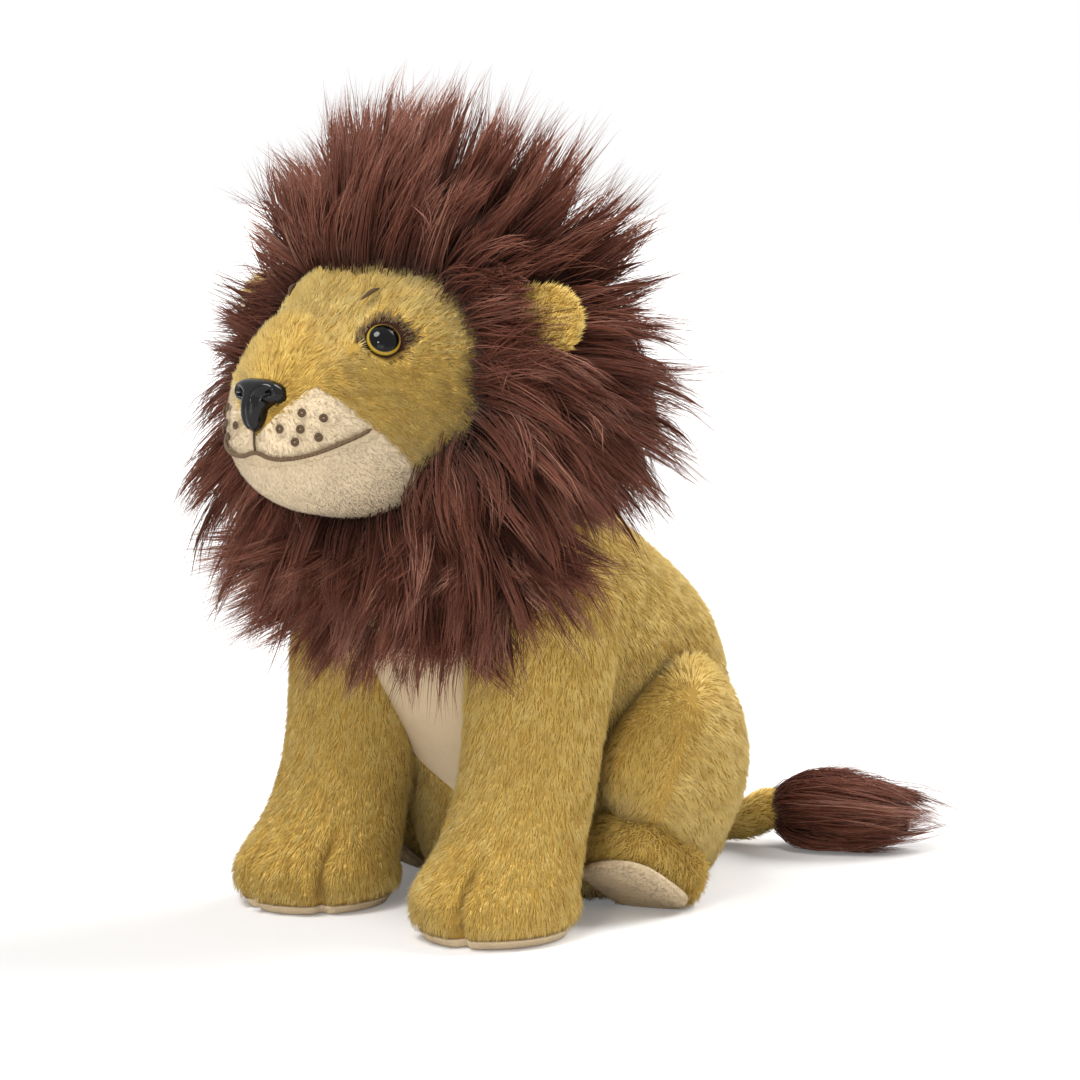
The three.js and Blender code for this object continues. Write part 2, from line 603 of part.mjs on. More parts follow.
/** Room in the filling for a washer and the end of its post. */
function washerRoom(sunk) {
  const [rim, post] = [WASHER_DIAMETER / 2 + CLEARANCE, POST_DIAMETER / 2 + CLEARANCE];
  const [end, mouth] = [-POST_LENGTH - CLEARANCE, POST_LENGTH];
  const floor = sunk - WASHER_SEAT - WASHER_THICKNESS - CLEARANCE;
  return lathe([[0, end], [post, end], [post, floor], [rim, floor], [rim, mouth], [0, mouth]], 14);
}

const eyeSolid = (side, grow) => solid(eyeForm(grow).applyMatrix4(eyePlace(side)));
const eyeWasher = (side, grow) => solid(washerSunk(grow, EYE_SINK).applyMatrix4(eyePlace(side)));
const noseSolid = (grow) => noseForm(grow).transform(nosePlace.elements);
const noseWasher = (grow) => solid(washerSunk(grow, NOSE_SINK - 1).applyMatrix4(nosePlace));

const headRoom = above(HEAD_BASE);
const headGrown = headShape(CLEARANCE, 28);
const headShell = cut(
  keep(headShape(0, 28), headRoom),
  headShape(-CLOTH, 18, LINING_PLACES),
  eyeSolid(1, CLEARANCE), eyeSolid(-1, CLEARANCE), noseSolid(CLEARANCE),
);
const headCover = cut(headShell, paleSpace(0));
const muzzlePanel = cut(keep(headShell, paleSpace(-CLEARANCE)), chinSpace(0));
const chinPanel = keep(headShell, paleSpace(-CLEARANCE), chinSpace(-CLEARANCE));
const headFilling = cut(
  keep(headShape(-LINING, 18, LINING_PLACES), headRoom),
  solid(washerRoom(EYE_SINK).applyMatrix4(eyePlace(1))),
  solid(washerRoom(EYE_SINK).applyMatrix4(eyePlace(-1))),
  solid(washerRoom(NOSE_SINK - 1).applyMatrix4(nosePlace)),
);

// Ears
/** Frame of one ear: origin on its fold line, +Z out from the head, +Y to its back. */
function earPlace(side) {
  const spot = headSpot(EAR_BACK, sideTurn(side, EAR_TURN));
  const out = spot.out.clone().setY(0).normalize();
  const behind = new THREE.Vector3(0, 1, 0);
  const across = behind.clone().cross(out);
  const base = spot.point.clone().addScaledVector(out, EAR_THICKNESS / 2 + CLEARANCE);
  return new THREE.Matrix4().makeBasis(across, behind, out).setPosition(base);
}

/** One cloth layer of an ear, a padded half oval with a round foot, in front of or behind the middle. */
function earLayer(face) {
  const thick = (EAR_THICKNESS - CLEARANCE) / 2;
  const rings = steps(0, 1, 6).map((t) => {
    const height = -EAR_THICKNESS / 2 + (EAR_LENGTH + EAR_THICKNESS / 2) * t;
    const sunk = Math.min(height, 0) / (EAR_THICKNESS / 2);
    const foot = Math.sqrt(Math.max(1 - sunk * sunk, 0));
    const crown = Math.sqrt(Math.max(1 - Math.max(height / EAR_LENGTH, 0) ** 2.4, 0));
    const half = Math.max((EAR_WIDTH / 2) * crown * (0.6 + 0.4 * foot), 0.05);
    const deep = Math.max(thick * foot * Math.max(crown, 0.06), 0.05);
    return angles(12).map((p) => {
      const [side, depth] = [Math.cos(p), Math.sin(p) * 0.5 + 0.5];
      const away = CLEARANCE / 2 + depth * deep * Math.sqrt(Math.max(1 - side * side, 0.02));
      return new THREE.Vector3(side * half, face * away, height);
    });
  });
  return skin(rings);
}

/** Wedge of free room that an ear folds in, open to the outside of the mane. */
function earRoom(side) {
  const foot = EAR_THICKNESS / 2 + 2 * CLEARANCE;
  const reach = MANE_WIDTH * 0.4;
  const behind = foot + reach * Math.tan(turn(EAR_FOLD + 2));
  const before = foot + reach * Math.tan(turn(EAR_PARTING));
  const outline = new THREE.Shape([
    new THREE.Vector2(-foot, -foot - 1),
    new THREE.Vector2(foot, -foot - 1),
    new THREE.Vector2(foot, 0),
    new THREE.Vector2(behind, reach),
    new THREE.Vector2(-before, reach),
    new THREE.Vector2(-foot, 0),
  ]);
  const width = EAR_WIDTH + 4 * CLEARANCE;
  const room = new THREE.ExtrudeGeometry(outline, { depth: width, bevelEnabled: false });
  const axes = new THREE.Matrix4().makeBasis(
    new THREE.Vector3(0, 1, 0), new THREE.Vector3(0, 0, 1), new THREE.Vector3(1, 0, 0),
  );
  return solid(room.translate(0, 0, -width / 2).applyMatrix4(axes).applyMatrix4(earPlace(side)));
}

// Mane
const maneRadius = through([
  [0, 0.6], [0.05, 0.72], [0.14, 0.88], [0.3, 1], [0.5, 0.98], [0.7, 0.84], [0.87, 0.58], [0.96, 0.3],
  [1, 0],
]);

/** Shaggy ball of long pile round the head, with staggered pointed locks and a beard that hangs forward. */
function maneShape() {
  const sides = MANE_LOCKS * 3;
  const rings = [0, 0.05, 0.14, 0.27, 0.42, 0.58, 0.74, 0.87, 0.96, 1].map((t, row) => {
    const spiky = LOCK_DEPTH * Math.sin(Math.PI * Math.min(t * 1.25 + 0.1, 1));
    return angles(sides).map((p) => {
      const lock = Math.abs(Math.sin((MANE_LOCKS * p) / 2 + ((row % 2) * Math.PI) / 2)) - 0.6;
      const [up, corner] = [Math.sin(p), Math.sin(2 * p) ** 2];
      const fall = up < 0 ? 0.15 * corner : -0.07 * t * up + 0.05 * corner;
      const radius = Math.max(maneRadius(t) * (1 + spiky * lock + fall), 0.004);
      const height = MANE_LEVEL + (MANE_HEIGHT / 2) * radius * up;
      const hang = BEARD_LEAN * Math.max(MANE_LEVEL - height, 0) * (1 - 0.5 * t);
      const peak = MANE_PEAK * Math.max(up, 0) ** 2 * (1 - t);
      const along = MANE_FRONT - MUZZLE_TIP + MANE_DEPTH * t - hang - peak;
      return new THREE.Vector3((MANE_WIDTH / 2) * radius * Math.cos(p), along, height);
    });
  });
  return solid(skin(rings));
}

const maneWhole = maneShape();
const mane = cut(keep(maneWhole, headRoom), headGrown, earRoom(1), earRoom(-1));
const ruffFront = halfSpace(new THREE.Vector3(0, -RUFF_BACK, 0), new THREE.Vector3(0, 1, 0));
const ruff = cut(
  keep(maneWhole, below(TORSO_HEIGHT), ruffFront),
  torsoGrown, frontLegSweep(1), frontLegSweep(-1),
);

// Tail
const tailRadius = TAIL_DIAMETER / 2;

/** Furthest back that the torso reaches at a height. */
function torsoBack(height) {
  const { y, deep } = torsoSection(height);
  return y + deep / 2;
}

const tailReach = steps(-1, 1, 24).map(
  (t) => torsoBack(TAIL_LEVEL + tailRadius * t) + tailRadius * Math.sqrt(1 - t * t),
);
const tailRoot = new THREE.Vector3(0, Math.max(...tailReach) + CLEARANCE, TAIL_LEVEL);
const tailCurve = new THREE.CatmullRomCurve3(
  [
    [0, 0, 0],
    [TAIL_LENGTH * 0.22, TAIL_LENGTH * 0.36, 0],
    [TAIL_LENGTH * 0.76, TAIL_LENGTH * 0.7, 0.6],
    [TAIL_LENGTH * 1.3, TAIL_LENGTH * 0.9, 4],
    [TAIL_LENGTH * 1.3 + TUFT_LENGTH * 0.85, TAIL_LENGTH * 0.9 + TUFT_LENGTH * 0.42, 3],
  ].map((step) => new THREE.Vector3(...step).add(tailRoot)),
);
const tailSpan = tailCurve.getLength();
const tuftStart = (tailSpan - TUFT_LENGTH * 0.93) / tailSpan;

/** Round piece along the tail's curve, with its radius given along the way. */
function alongTail(from, to, levels, sides, radiusAt, extend) {
  const rings = steps(from, to, levels).map((t) => {
    const point = tailCurve.getPointAt(t);
    const ahead = tailCurve.getTangentAt(t);
    const across = new THREE.Vector3(0, 0, 1).cross(ahead).normalize();
    const up = ahead.clone().cross(across);
    const radius = Math.max(radiusAt((t - from) / (to - from)), 0.05);
    return angles(sides).map((p) => {
      const away = across.clone().multiplyScalar(Math.cos(p)).addScaledVector(up, Math.sin(p));
      return away.multiplyScalar(radius).add(point);
    });
  });
  const root = tailCurve.getTangentAt(from);
  const middle = tailCurve.getPointAt(from);
  const cap = extend > 0 ? [1, 0.92, 0.72, 0.38] : [];
  const round = cap.map((back) => {
    const shrink = Math.max(Math.sqrt(1 - back * back), 0.01);
    const first = rings[0].map((p) => p.clone().sub(middle).multiplyScalar(shrink));
    return first.map((p) => p.add(middle).addScaledVector(root, -back * extend));
  });
  return solid(skin([...round, ...rings]));
}

const tailWhole = alongTail(0, tuftStart, 6, 12, () => tailRadius, tailRadius);
const tailLining = alongTail(0, tuftStart + 0.02, 6, 10, () => tailRadius - CLOTH, tailRadius - CLOTH);
const tailFilling = alongTail(0, tuftStart, 6, 10, () => tailRadius - LINING, tailRadius - LINING);
const tuftRadius = through([
  [0, tailRadius * 0.95], [0.07, TUFT_DIAMETER * 0.42], [0.22, TUFT_DIAMETER * 0.5],
  [0.5, TUFT_DIAMETER * 0.46], [0.78, TUFT_DIAMETER * 0.29], [1, 0.05],
]);
const tuftGap = (2 * CLEARANCE) / tailSpan;
const tuft = keep(alongTail(tuftStart + tuftGap, 1, 9, 14, tuftRadius, 0), above(0.2));

// Looks
const GOLD = { color: 0xc0a05a, roughness: 0.92, metalness: 0 };
const CREAM = { color: 0xd6c3a0, roughness: 0.92, metalness: 0 };
const BROWN = { color: 0x5c3a30, roughness: 0.8, metalness: 0 };
const BLACK = { color: 0x0d0b0b, roughness: 0.15, metalness: 0 };
const FIBRE = { color: 0xf1efe9, roughness: 1, metalness: 0 };
const PLASTIC = { color: 0xe4e4e0, roughness: 0.5, metalness: 0 };

/** Group with a name and its pieces. */
function group(name, ...parts) {
  const made = new THREE.Group();
  made.name = name;
  made.add(...parts);
  return made;
}

const torso = group(
  "torso_group",
  piece("torso_cover", torsoCover, GOLD),
  piece("belly_panel", bellyPanel, CREAM),
  piece("torso_filling", torsoFilling, FIBRE),
  piece("mane_ruff", ruff, BROWN),
);

const head = group(
  "head_group",
  piece("head_cover", headCover, GOLD),
  piece("muzzle_panel", muzzlePanel, CREAM),
  piece("chin_panel", chinPanel, CREAM),
  piece("head_filling", headFilling, FIBRE),
  piece("mane_pelt", mane, BROWN),
  piece("mouth_thread", mouthLine, BROWN),
  piece("nose", noseSolid(0), BLACK),
  piece("nose_washer", noseWasher(0), PLASTIC),
);

const tail = group(
  "tail_group",
  piece("tail_cover", cut(tailWhole, tailLining), GOLD),
  piece("tail_filling", tailFilling, FIBRE),
  piece("tail_tuft", tuft, BROWN),
);

const lion = group("plush_lion", torso, head, tail);

for (const [label, side] of [["left", 1], ["right", -1]]) {
  head.add(piece(`eye_${label}`, eyeSolid(side, 0), BLACK));
  head.add(piece(`eye_washer_${label}`, eyeWasher(side, 0), PLASTIC));
  const ear = group(
    `ear_group_${label}`,
    piece(`ear_front_${label}`, solid(earLayer(-1)), GOLD),
    piece(`ear_back_${label}`, solid(earLayer(1)), GOLD),
  );
  ear.applyMatrix4(earPlace(side));
  head.add(ear);
  const front = frontLeg(side);
  lion.add(group(
    `front_leg_group_${label}`,
    piece(`front_leg_${label}`, front.cover, GOLD),
    piece(`front_leg_filling_${label}`, front.filling, FIBRE),
    piece(`front_sole_${label}`, front.sole, CREAM),
  ));
  const hind = hindLeg(side);
  lion.add(group(
    `hind_leg_group_${label}`,
    piece(`thigh_${label}`, hind.thigh, GOLD),
    piece(`thigh_filling_${label}`, hind.thighFilling, FIBRE),
    piece(`hind_foot_${label}`, hind.foot, GOLD),
    piece(`hind_foot_filling_${label}`, hind.footFilling, FIBRE),
    piece(`hind_sole_${label}`, hind.sole, CREAM),
  ));
}

export default lion;
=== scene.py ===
"""Looks of a sitting plush lion over its CAD frame. Sizes are in millimetres until a mesh is made."""
import math

import bpy
import numpy as np
from mathutils import Matrix


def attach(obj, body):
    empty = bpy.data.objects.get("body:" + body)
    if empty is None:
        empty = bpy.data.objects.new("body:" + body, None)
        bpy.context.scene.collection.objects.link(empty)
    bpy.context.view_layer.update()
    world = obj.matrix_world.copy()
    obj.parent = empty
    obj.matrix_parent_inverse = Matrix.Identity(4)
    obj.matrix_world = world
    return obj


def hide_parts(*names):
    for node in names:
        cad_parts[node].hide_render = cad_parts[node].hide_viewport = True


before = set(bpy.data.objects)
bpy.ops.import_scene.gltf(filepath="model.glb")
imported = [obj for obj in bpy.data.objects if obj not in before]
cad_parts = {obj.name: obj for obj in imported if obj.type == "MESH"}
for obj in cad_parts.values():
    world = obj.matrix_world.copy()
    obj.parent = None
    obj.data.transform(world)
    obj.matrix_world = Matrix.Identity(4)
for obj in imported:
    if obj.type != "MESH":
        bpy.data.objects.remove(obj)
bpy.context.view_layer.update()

MM = 0.001

# Sizes of the lion, as in its CAD source
HIP_HEIGHT, TORSO_HEIGHT = 34, 112
FRONT_LEG_SPREAD, FRONT_LEG_TOP = 33, 102
THIGH_SPREAD, THIGH_FOOT, THIGH_HEIGHT = 46, 9, 71
FOOT_SPREAD, FOOT_LENGTH, FOOT_WIDTH, FOOT_DEPTH, HEEL_BACK, HEEL_PRESS = 48, 39, 26, 24, -9, 5
FOOT_LIFT, FOOT_TURN, FOOT_ROLL = math.radians(33), math.radians(4), math.radians(14)
SOLE = 2.4
MUZZLE_TIP, HEAD_LENGTH, HEAD_BASE = 129, 94, 112.4
EYE_RADIUS, EYE_DOME, EYE_BACK, EYE_TURN, EYE_SINK = 5, 3.2, 27.5, math.radians(32.5), 1.1
NOSE_WIDTH, NOSE_HEIGHT, NOSE_THICKNESS, NOSE_LEVEL = 16.5, 14, 5.5, 146.5
NOSE_TILT, NOSE_SINK = math.radians(24), 1.1
EAR_WIDTH, EAR_LENGTH = 25, 21
EAR_BASE, EAR_OUT = np.array([40.62, -69, 163.12]), np.array([0.93726, 0, 0.34863])
MANE_FRONT, MANE_DEPTH, MANE_LEVEL, MANE_WIDTH, MANE_HEIGHT = 46, 87, 149, 140, 152
TAIL_ROOT = np.array([0, 58.7, 7.6])
SIDES = (("left", 1), ("right", -1))

# Pile of the three cloths
GOLD_SINK, FACE_SINK, CREAM_SINK = 1.1, 0.9, 0.6
GOLD_PILE, FACE_PILE, CREAM_PILE = 4.0, 3.3, 1.4


# Curves and vectors

def through(*knots):
    """Smooth curve through (place, value) knots: between two knots the value eases from one to the other and
    leaves each at the slope between its neighbours. Past both ends it stays level."""
    places, values = (np.array(row, float) for row in zip(*knots))
    last = len(places) - 1
    ahead, behind = np.minimum(np.arange(last + 1) + 1, last), np.maximum(np.arange(last + 1) - 1, 0)
    slopes = (values[ahead] - values[behind]) / (places[ahead] - places[behind])

    def value(place):
        """Value of the curve at each place."""
        held = np.clip(place, places[0], places[-1])
        k = np.clip(np.searchsorted(places, held, side="right") - 1, 0, last - 1)
        span = places[k + 1] - places[k]
        u = (held - places[k]) / span
        bend = u * (1 - u) * span * (slopes[k] * (1 - u) - slopes[k + 1] * u)
        return values[k] + (values[k + 1] - values[k]) * u * u * (3 - 2 * u) + bend

    return value


def unit(rows):
    """Rows of vectors brought to length one."""
    return rows / np.maximum(np.linalg.norm(rows, axis=-1, keepdims=True), 1e-9)


def dot(a, b):
    """Dot product of matching rows, kept as a column."""
    return np.sum(a * b, axis=-1, keepdims=True)


def turns(count):
    """Angles of a full turn in even steps from 0."""
    return np.linspace(0, 2 * math.pi, count, endpoint=False)


def left_side(points):
    """Points with those of the right half mirrored to the left."""
    return np.concatenate([np.abs(points[..., :1]), points[..., 1:]], -1)


def from_line(points, corners):
    """Steps to points from the nearest place on a line through corners: the shortest of those from its
    parts."""
    best = np.full(points.shape, 1e3)
    for start, end in zip(corners[:-1], corners[1:]):
        share = np.clip((points - start) @ (end - start) / np.sum((end - start) ** 2), 0, 1)[:, None]
        step = points - start - share * (end - start)
        best = np.where(dot(step, step) < dot(best, best), step, best)
    return best


def srgb(red, green, blue):
    """Linear colour of a screen colour given from 0 to 255."""
    c = np.array([red, green, blue]) / 255
    return (*np.where(c <= 0.04045, c / 12.92, ((c + 0.055) / 1.055) ** 2.4).tolist(), 1.0)


def mottle(points, size):
    """Soft unevenness from about -1 to 1: two products of sines along slanted directions, waves this long."""
    w = 2 * math.pi / size
    x, y, z = points[..., 0], points[..., 1], points[..., 2]
    first = np.sin(w * (x + 0.4 * y) + 1.3) * np.sin(w * (0.8 * z - 0.5 * y) + 0.4)
    second = np.sin(w * (1.7 * y - 0.6 * x + 0.9 * z)) * np.sin(w * (1.4 * x + 1.1 * z) + 2.1)
    return 0.6 * first + 0.4 * second


def scramble(cells, salt):
    """Fixed random number from 0 to 1 for each row of whole numbers: the fraction left of a large sine."""
    key = cells @ np.array([127.1, 311.7, 74.7]) + 53.3 * salt
    return np.modf(np.abs(np.sin(key)) * 43758.5453)[0]


# Surfaces

def corners_of(faces):
    """Numbers of the points at the corners of all faces, in one row."""
    return np.concatenate([f.ravel() for f in faces])


def ring_quads(levels, around):
    """Four-cornered faces between neighbouring rings of points."""
    k = np.arange(around)
    ahead = (k + 1) % around
    low = np.arange(levels - 1)[:, None] * around
    return np.stack([low + k, low + ahead, low + ahead + around, low + k + around], -1).reshape(-1, 4)


def loft(rings):
    """Closed skin over rings of points: four-cornered faces between neighbouring rings and a fan to the
    middle of each end ring, turned outward by the sign of the volume inside."""
    levels, around = rings.shape[:2]
    k = np.arange(around)
    ahead = (k + 1) % around
    quads = ring_quads(levels, around)
    first, top = levels * around, (levels - 1) * around
    fans = np.concatenate([
        np.stack([np.full(around, first), ahead, k], -1),
        np.stack([np.full(around, first + 1), top + k, top + ahead], -1),
    ])
    points = np.concatenate([rings.reshape(-1, 3), rings[[0, -1]].mean(axis=1)])
    a, b, c = (points[np.concatenate([quads[:, :3], quads[:, [0, 2, 3]], fans])[:, n]] for n in range(3))
    if np.sum(a * np.cross(b, c)) < 0:
        quads, fans = quads[:, ::-1], fans[:, ::-1]
    return points, [quads, fans]


def sheet(grid):
    """Open cloth over a grid of points, one four-cornered face between each four neighbours."""
    rows, columns = grid.shape[:2]
    k = (np.arange(rows - 1)[:, None] * columns + np.arange(columns - 1)).ravel()
    return grid.reshape(-1, 3), [np.stack([k, k + 1, k + 1 + columns, k + columns], -1)]


def part_of(points, faces, keeps):
    """The faces of a form whose middle is kept by a test, with only the points that they use."""
    kept = [f[keeps(points[f].mean(axis=1))] for f in faces]
    used, index = np.unique(corners_of(kept), return_inverse=True)
    cuts = np.cumsum([f.size for f in kept])[:-1]
    return points[used], [n.reshape(f.shape) for n, f in zip(np.split(index, cuts), kept)]


def triangles_of(faces):
    """Every face as triangles, fanned from its first corner."""
    return np.concatenate([f[:, [0, n, n + 1]] for f in faces for n in range(1, f.shape[1] - 1)])


def normals_of(points, faces):
    """Outward direction at each point: the sum of the directions of the triangles round it."""
    tri = triangles_of(faces)
    a, b, c = (points[tri[:, n]] for n in range(3))
    face = np.cross(b - a, c - a)
    total = np.zeros_like(points)
    for n in range(3):
        np.add.at(total, tri[:, n], face)
    return unit(total)


def ovals(x, y, z, wide, deep, around):
    """Level oval rings: centre, full width along X and full depth along Y of each, angle round from +X."""
    turn = turns(around)
    rows = [np.broadcast_to(v, np.shape(z)).astype(float)[:, None] for v in (x, y, z, wide, deep)]
    x, y, z, wide, deep = rows
    return np.stack([x + wide / 2 * np.cos(turn), y + deep / 2 * np.sin(turn), z + 0 * turn], -1)


def tube(path, radius, around):
    """Rings round a path: each stands square to it, its radius given along the way."""
    ahead = unit(np.gradient(path, axis=0))
    across = unit(np.cross(ahead, np.array([0.13, 0.21, 0.97])))
    up = np.cross(ahead, across)
    turn = turns(around)[:, None]
    reach = np.broadcast_to(radius, len(path))[:, None, None]
    return path[:, None] + reach * (np.cos(turn) * across[:, None] + np.sin(turn) * up[:, None])


def piece(name, form, material, body, stands_for=(), smooth=True):
    """Puts a form into the scene as a mesh in metres with its material, ties it to its body and hides the CAD
    pieces that it stands for."""
    points, faces = form
    mesh = bpy.data.meshes.new(name)
    corners = corners_of(faces).astype(np.int32)
    sides = np.concatenate([np.full(len(f), f.shape[1]) for f in faces])
    mesh.vertices.add(len(points))
    mesh.vertices.foreach_set("co", (points * MM).astype(np.float32).ravel())
    mesh.loops.add(len(corners))
    mesh.loops.foreach_set("vertex_index", corners)
    mesh.polygons.add(len(sides))
    mesh.polygons.foreach_set("loop_start", np.concatenate([[0], np.cumsum(sides)[:-1]]).astype(np.int32))
    mesh.update(calc_edges=True)
    if smooth:
        mesh.shade_smooth()
    mesh.materials.append(material)
    made = bpy.data.objects.new(name, mesh)
    bpy.context.scene.collection.objects.link(made)
    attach(made, body)
    if stands_for:
        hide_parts(*stands_for)
    return made


def thicken(made, depth):
    """Gives an open cloth its thickness, inward from the face that shows."""
    solid = made.modifiers.new("cloth", "SOLIDIFY")
    solid.thickness = depth * MM
    solid.offset = -1


def cover(name, form, material, body, stands_for=(), tint=0.0, thick=0.0):
    """Puts a cloth into the scene: a piece whose points carry how far it is tinted, and whose open sheet,
    if it is one, gets its thickness inward."""
    made = piece(name, form, material, body, stands_for)
    if thick:
        thicken(made, thick)
    layer = made.data.attributes.new("tint", "FLOAT", "POINT")
    layer.data.foreach_set("value", np.broadcast_to(tint, len(form[0])).astype(np.float32))


def chart(made, u, v):
    """Writes the mesh's own map, u and v for each corner of each face."""
    layer = made.data.uv_layers.new(name="OFBake")
    layer.uv.foreach_set("vector", np.stack([u, v], -1).astype(np.float32).ravel())


# Forms of the lion

torso_width = through((34, 90), (78, 86), (112, 66))
torso_depth = through((34, 107), (78, 111), (112, 72))
torso_forward = through((34, -3), (78, 12.5), (112, 38))
leg_forward = through((13, 71), (26, 63), (44.2, 56.5), (102, 47))
leg_width = through((0, 38), (7.8, 46), (26, 40.5), (44.2, 39), (81.6, 41), (94.86, 30.4), (102, 0))
leg_depth = through((0, 41), (7.8, 50), (26, 41), (44.2, 39), (81.6, 42), (94.86, 31.2), (102, 0))
thigh_forward = through((0, 5), (42.6, 8), (71, 1))
head_width = through(
    (0, 0), (1.2, 16.5), (4, 30), (9, 41), (17, 50), (25, 60.45), (46, 78), (58, 80), (73, 73.6), (86, 51.2),
    (92, 22.4), (94, 0))
head_top = through(
    (0, 140), (1.2, 148), (3.5, 155), (7, 162), (13, 169), (20, 172.5), (27, 177), (34, 182), (46, 186),
    (56, 188), (72, 184), (85, 173), (92, 161), (94, 150))
head_bottom = through(
    (0, 136), (1.2, 130), (4, 124.5), (9, 120), (17, 116.4), (26, 114.4), (36, 112.4), (48, 109.9),
    (62, 109.9), (74, 114.4), (86, 126.4), (92, 137.4), (94, 148))
head_pinch = through((0, 0.2), (12, 0.2), (27, 0.36), (39, 0.14), (50, 0))
mane_radius = through(
    (0, 0.6), (0.05, 0.72), (0.14, 0.88), (0.3, 1), (0.5, 0.98), (0.7, 0.84), (0.87, 0.58), (0.96, 0.3),
    (1, 0))
bib_half = through((32, 0), (44, 18.7), (66, 26), (112, 26))
hairline = through(
    (-90, 33), (-55, 35), (-28, 36), (-21, 39), (2, 44), (22, 47), (39, 46.5), (59, 42), (74, 36), (84, 31),
    (90, 27.5))
tuft_radius = through((0, 6.65), (0.07, 11.76), (0.22, 14), (0.5, 12.88), (0.78, 8.12), (1, 0.05))


def torso_section(height):
    """Width, depth and forward place of the torso: a quarter round from the seat to the hips, then smooth."""
    round_ = np.sqrt(np.maximum(1 - np.maximum(1 - height / HIP_HEIGHT, 0) ** 2, 0))
    low = height < HIP_HEIGHT
    wide = np.where(low, 66 + 24 * round_, torso_width(height))
    deep = np.where(low, 74 + 33 * round_, torso_depth(height))
    return wide, deep, torso_forward(height)


def torso_form(grow):
    """Torso from the seat to the neck, each level an oval grown by the same amount."""
    seat = HIP_HEIGHT * (1 - np.cos(np.linspace(0, math.pi / 2, 18)))
    height = np.concatenate([seat, np.linspace(HIP_HEIGHT, TORSO_HEIGHT - 0.4, 40)[1:]])
    wide, deep, forward = torso_section(height)
    level = height + np.maximum(-grow - height, 0) * 0.5
    return loft(ovals(0, -forward, level, wide + 2 * grow, deep + 2 * grow, 120))


def torso_front(x, height, grow):
    """Point on the front of the torso at a sideways distance and a height."""
    wide, deep, forward = torso_section(height)
    share = np.clip(2 * x / (wide + 2 * grow), -1, 1)
    return np.stack([x, -forward - (deep / 2 + grow) * np.sqrt(1 - share**2), height], -1)


def in_torso(points, grow):
    """How far inside the torso's oval a point lies: under 1 is inside."""
    wide, deep, forward = torso_section(np.clip(points[..., 2], 0, TORSO_HEIGHT))
    return (points[..., 0] / (wide / 2 + grow)) ** 2 + ((points[..., 1] + forward) / (deep / 2 + grow)) ** 2


def bib_form(grow):
    """Bib on the chest: across it from edge to edge of its outline and up from its pointed foot, swelling
    forward towards the neck and most in the middle."""
    height = np.linspace(32.3, TORSO_HEIGHT - 0.5, 60)[:, None]
    x = np.linspace(-1, 1, 41)[None] * (bib_half(height) - 0.2)
    rise = np.clip((height - 36) / 44, 0, 1)
    swell = 10 * rise * rise * (3 - 2 * rise) * (1 - (x / 30) ** 2)
    chest = torso_front(x, np.broadcast_to(height, x.shape), grow)
    return sheet(chest - swell[..., None] * np.array([0, 1.0, 0]))


TOES = (-0.8, 0.27)  # turn of each toe crease from straight ahead


def toe_crease(turn, height):
    """Depth of the creases between the toes, from 0 to 1: a narrow dip at each turn that fades up the paw."""
    width = 0.075
    dip = sum(np.exp(-(((turn - toe) / width) ** 2)) for toe in TOES)
    return dip * np.clip((25 - height) / 8, 0, 1)


def leg_form(side, grow, floor=SOLE + 0.4, top=FRONT_LEG_TOP, levels=64, around=108):
    """Front leg: level ovals from the floor of the cloth to the round shoulder, with creased toes."""
    height = np.linspace(floor, top, levels)
    wide, deep = (np.maximum(f(height) + 2 * grow, 0.1) for f in (leg_width, leg_depth))
    rings = ovals(side * FRONT_LEG_SPREAD, -leg_forward(height), height, wide, deep, around)
    centre = np.stack([np.full(levels, side * FRONT_LEG_SPREAD), -leg_forward(height), height], -1)[:, None]
    away = rings - centre
    turn = np.arctan2(side * away[..., 0], -away[..., 1])
    pinch = 1 - 0.14 * toe_crease(turn, rings[..., 2])
    return loft(centre + away * pinch[..., None])


def in_leg(points, side, grow):
    """How far inside a front leg's oval a point lies: under 1 is inside."""
    z = np.clip(points[..., 2], 0, FRONT_LEG_TOP)
    wide, deep = (np.maximum(f(z) / 2 + grow, 0.05) for f in (leg_width, leg_depth))
    across, along = points[..., 0] - side * FRONT_LEG_SPREAD, points[..., 1] + leg_forward(z)
    inside = (across / wide) ** 2 + (along / deep) ** 2
    return np.where(points[..., 2] > FRONT_LEG_TOP + grow, 9, inside)


def thigh_section(t):
    """Width, depth and height of the thigh's egg, narrow at the heel and full near the top."""
    full = np.sin(math.pi * np.clip(t, 0, 1) ** 0.82) ** 0.62
    return 29 * full, 64 * full * (1 - 0.38 * (1 - t) ** 2), THIGH_FOOT + (THIGH_HEIGHT - THIGH_FOOT) * t


def thigh_form(side, grow):
    """Thigh: level ovals of the egg, closer together towards its ends."""
    t = 0.5 - 0.5 * np.cos(np.linspace(0.02, math.pi - 0.02, 64))
    wide, deep, height = thigh_section(t)
    rings = ovals(
        side * THIGH_SPREAD, -thigh_forward(height), height + grow * (2 * t - 1),
        np.maximum(wide + 2 * grow, 0.1), np.maximum(deep + 2 * grow, 0.1), 110)
    return loft(rings)


def in_thigh(points, side, grow):
    """How far inside the thigh's oval a point lies: under 1 is inside."""
    t = (points[..., 2] - THIGH_FOOT) / (THIGH_HEIGHT - THIGH_FOOT)
    wide, deep, _ = thigh_section(np.clip(t, 0, 1))
    wide, deep = (np.maximum(v / 2 + grow, 0.05) for v in (wide, deep))
    z = np.clip(points[..., 2], THIGH_FOOT, THIGH_HEIGHT)
    across, along = points[..., 0] - side * THIGH_SPREAD, points[..., 1] + thigh_forward(z)
    return (across / wide) ** 2 + (along / deep) ** 2


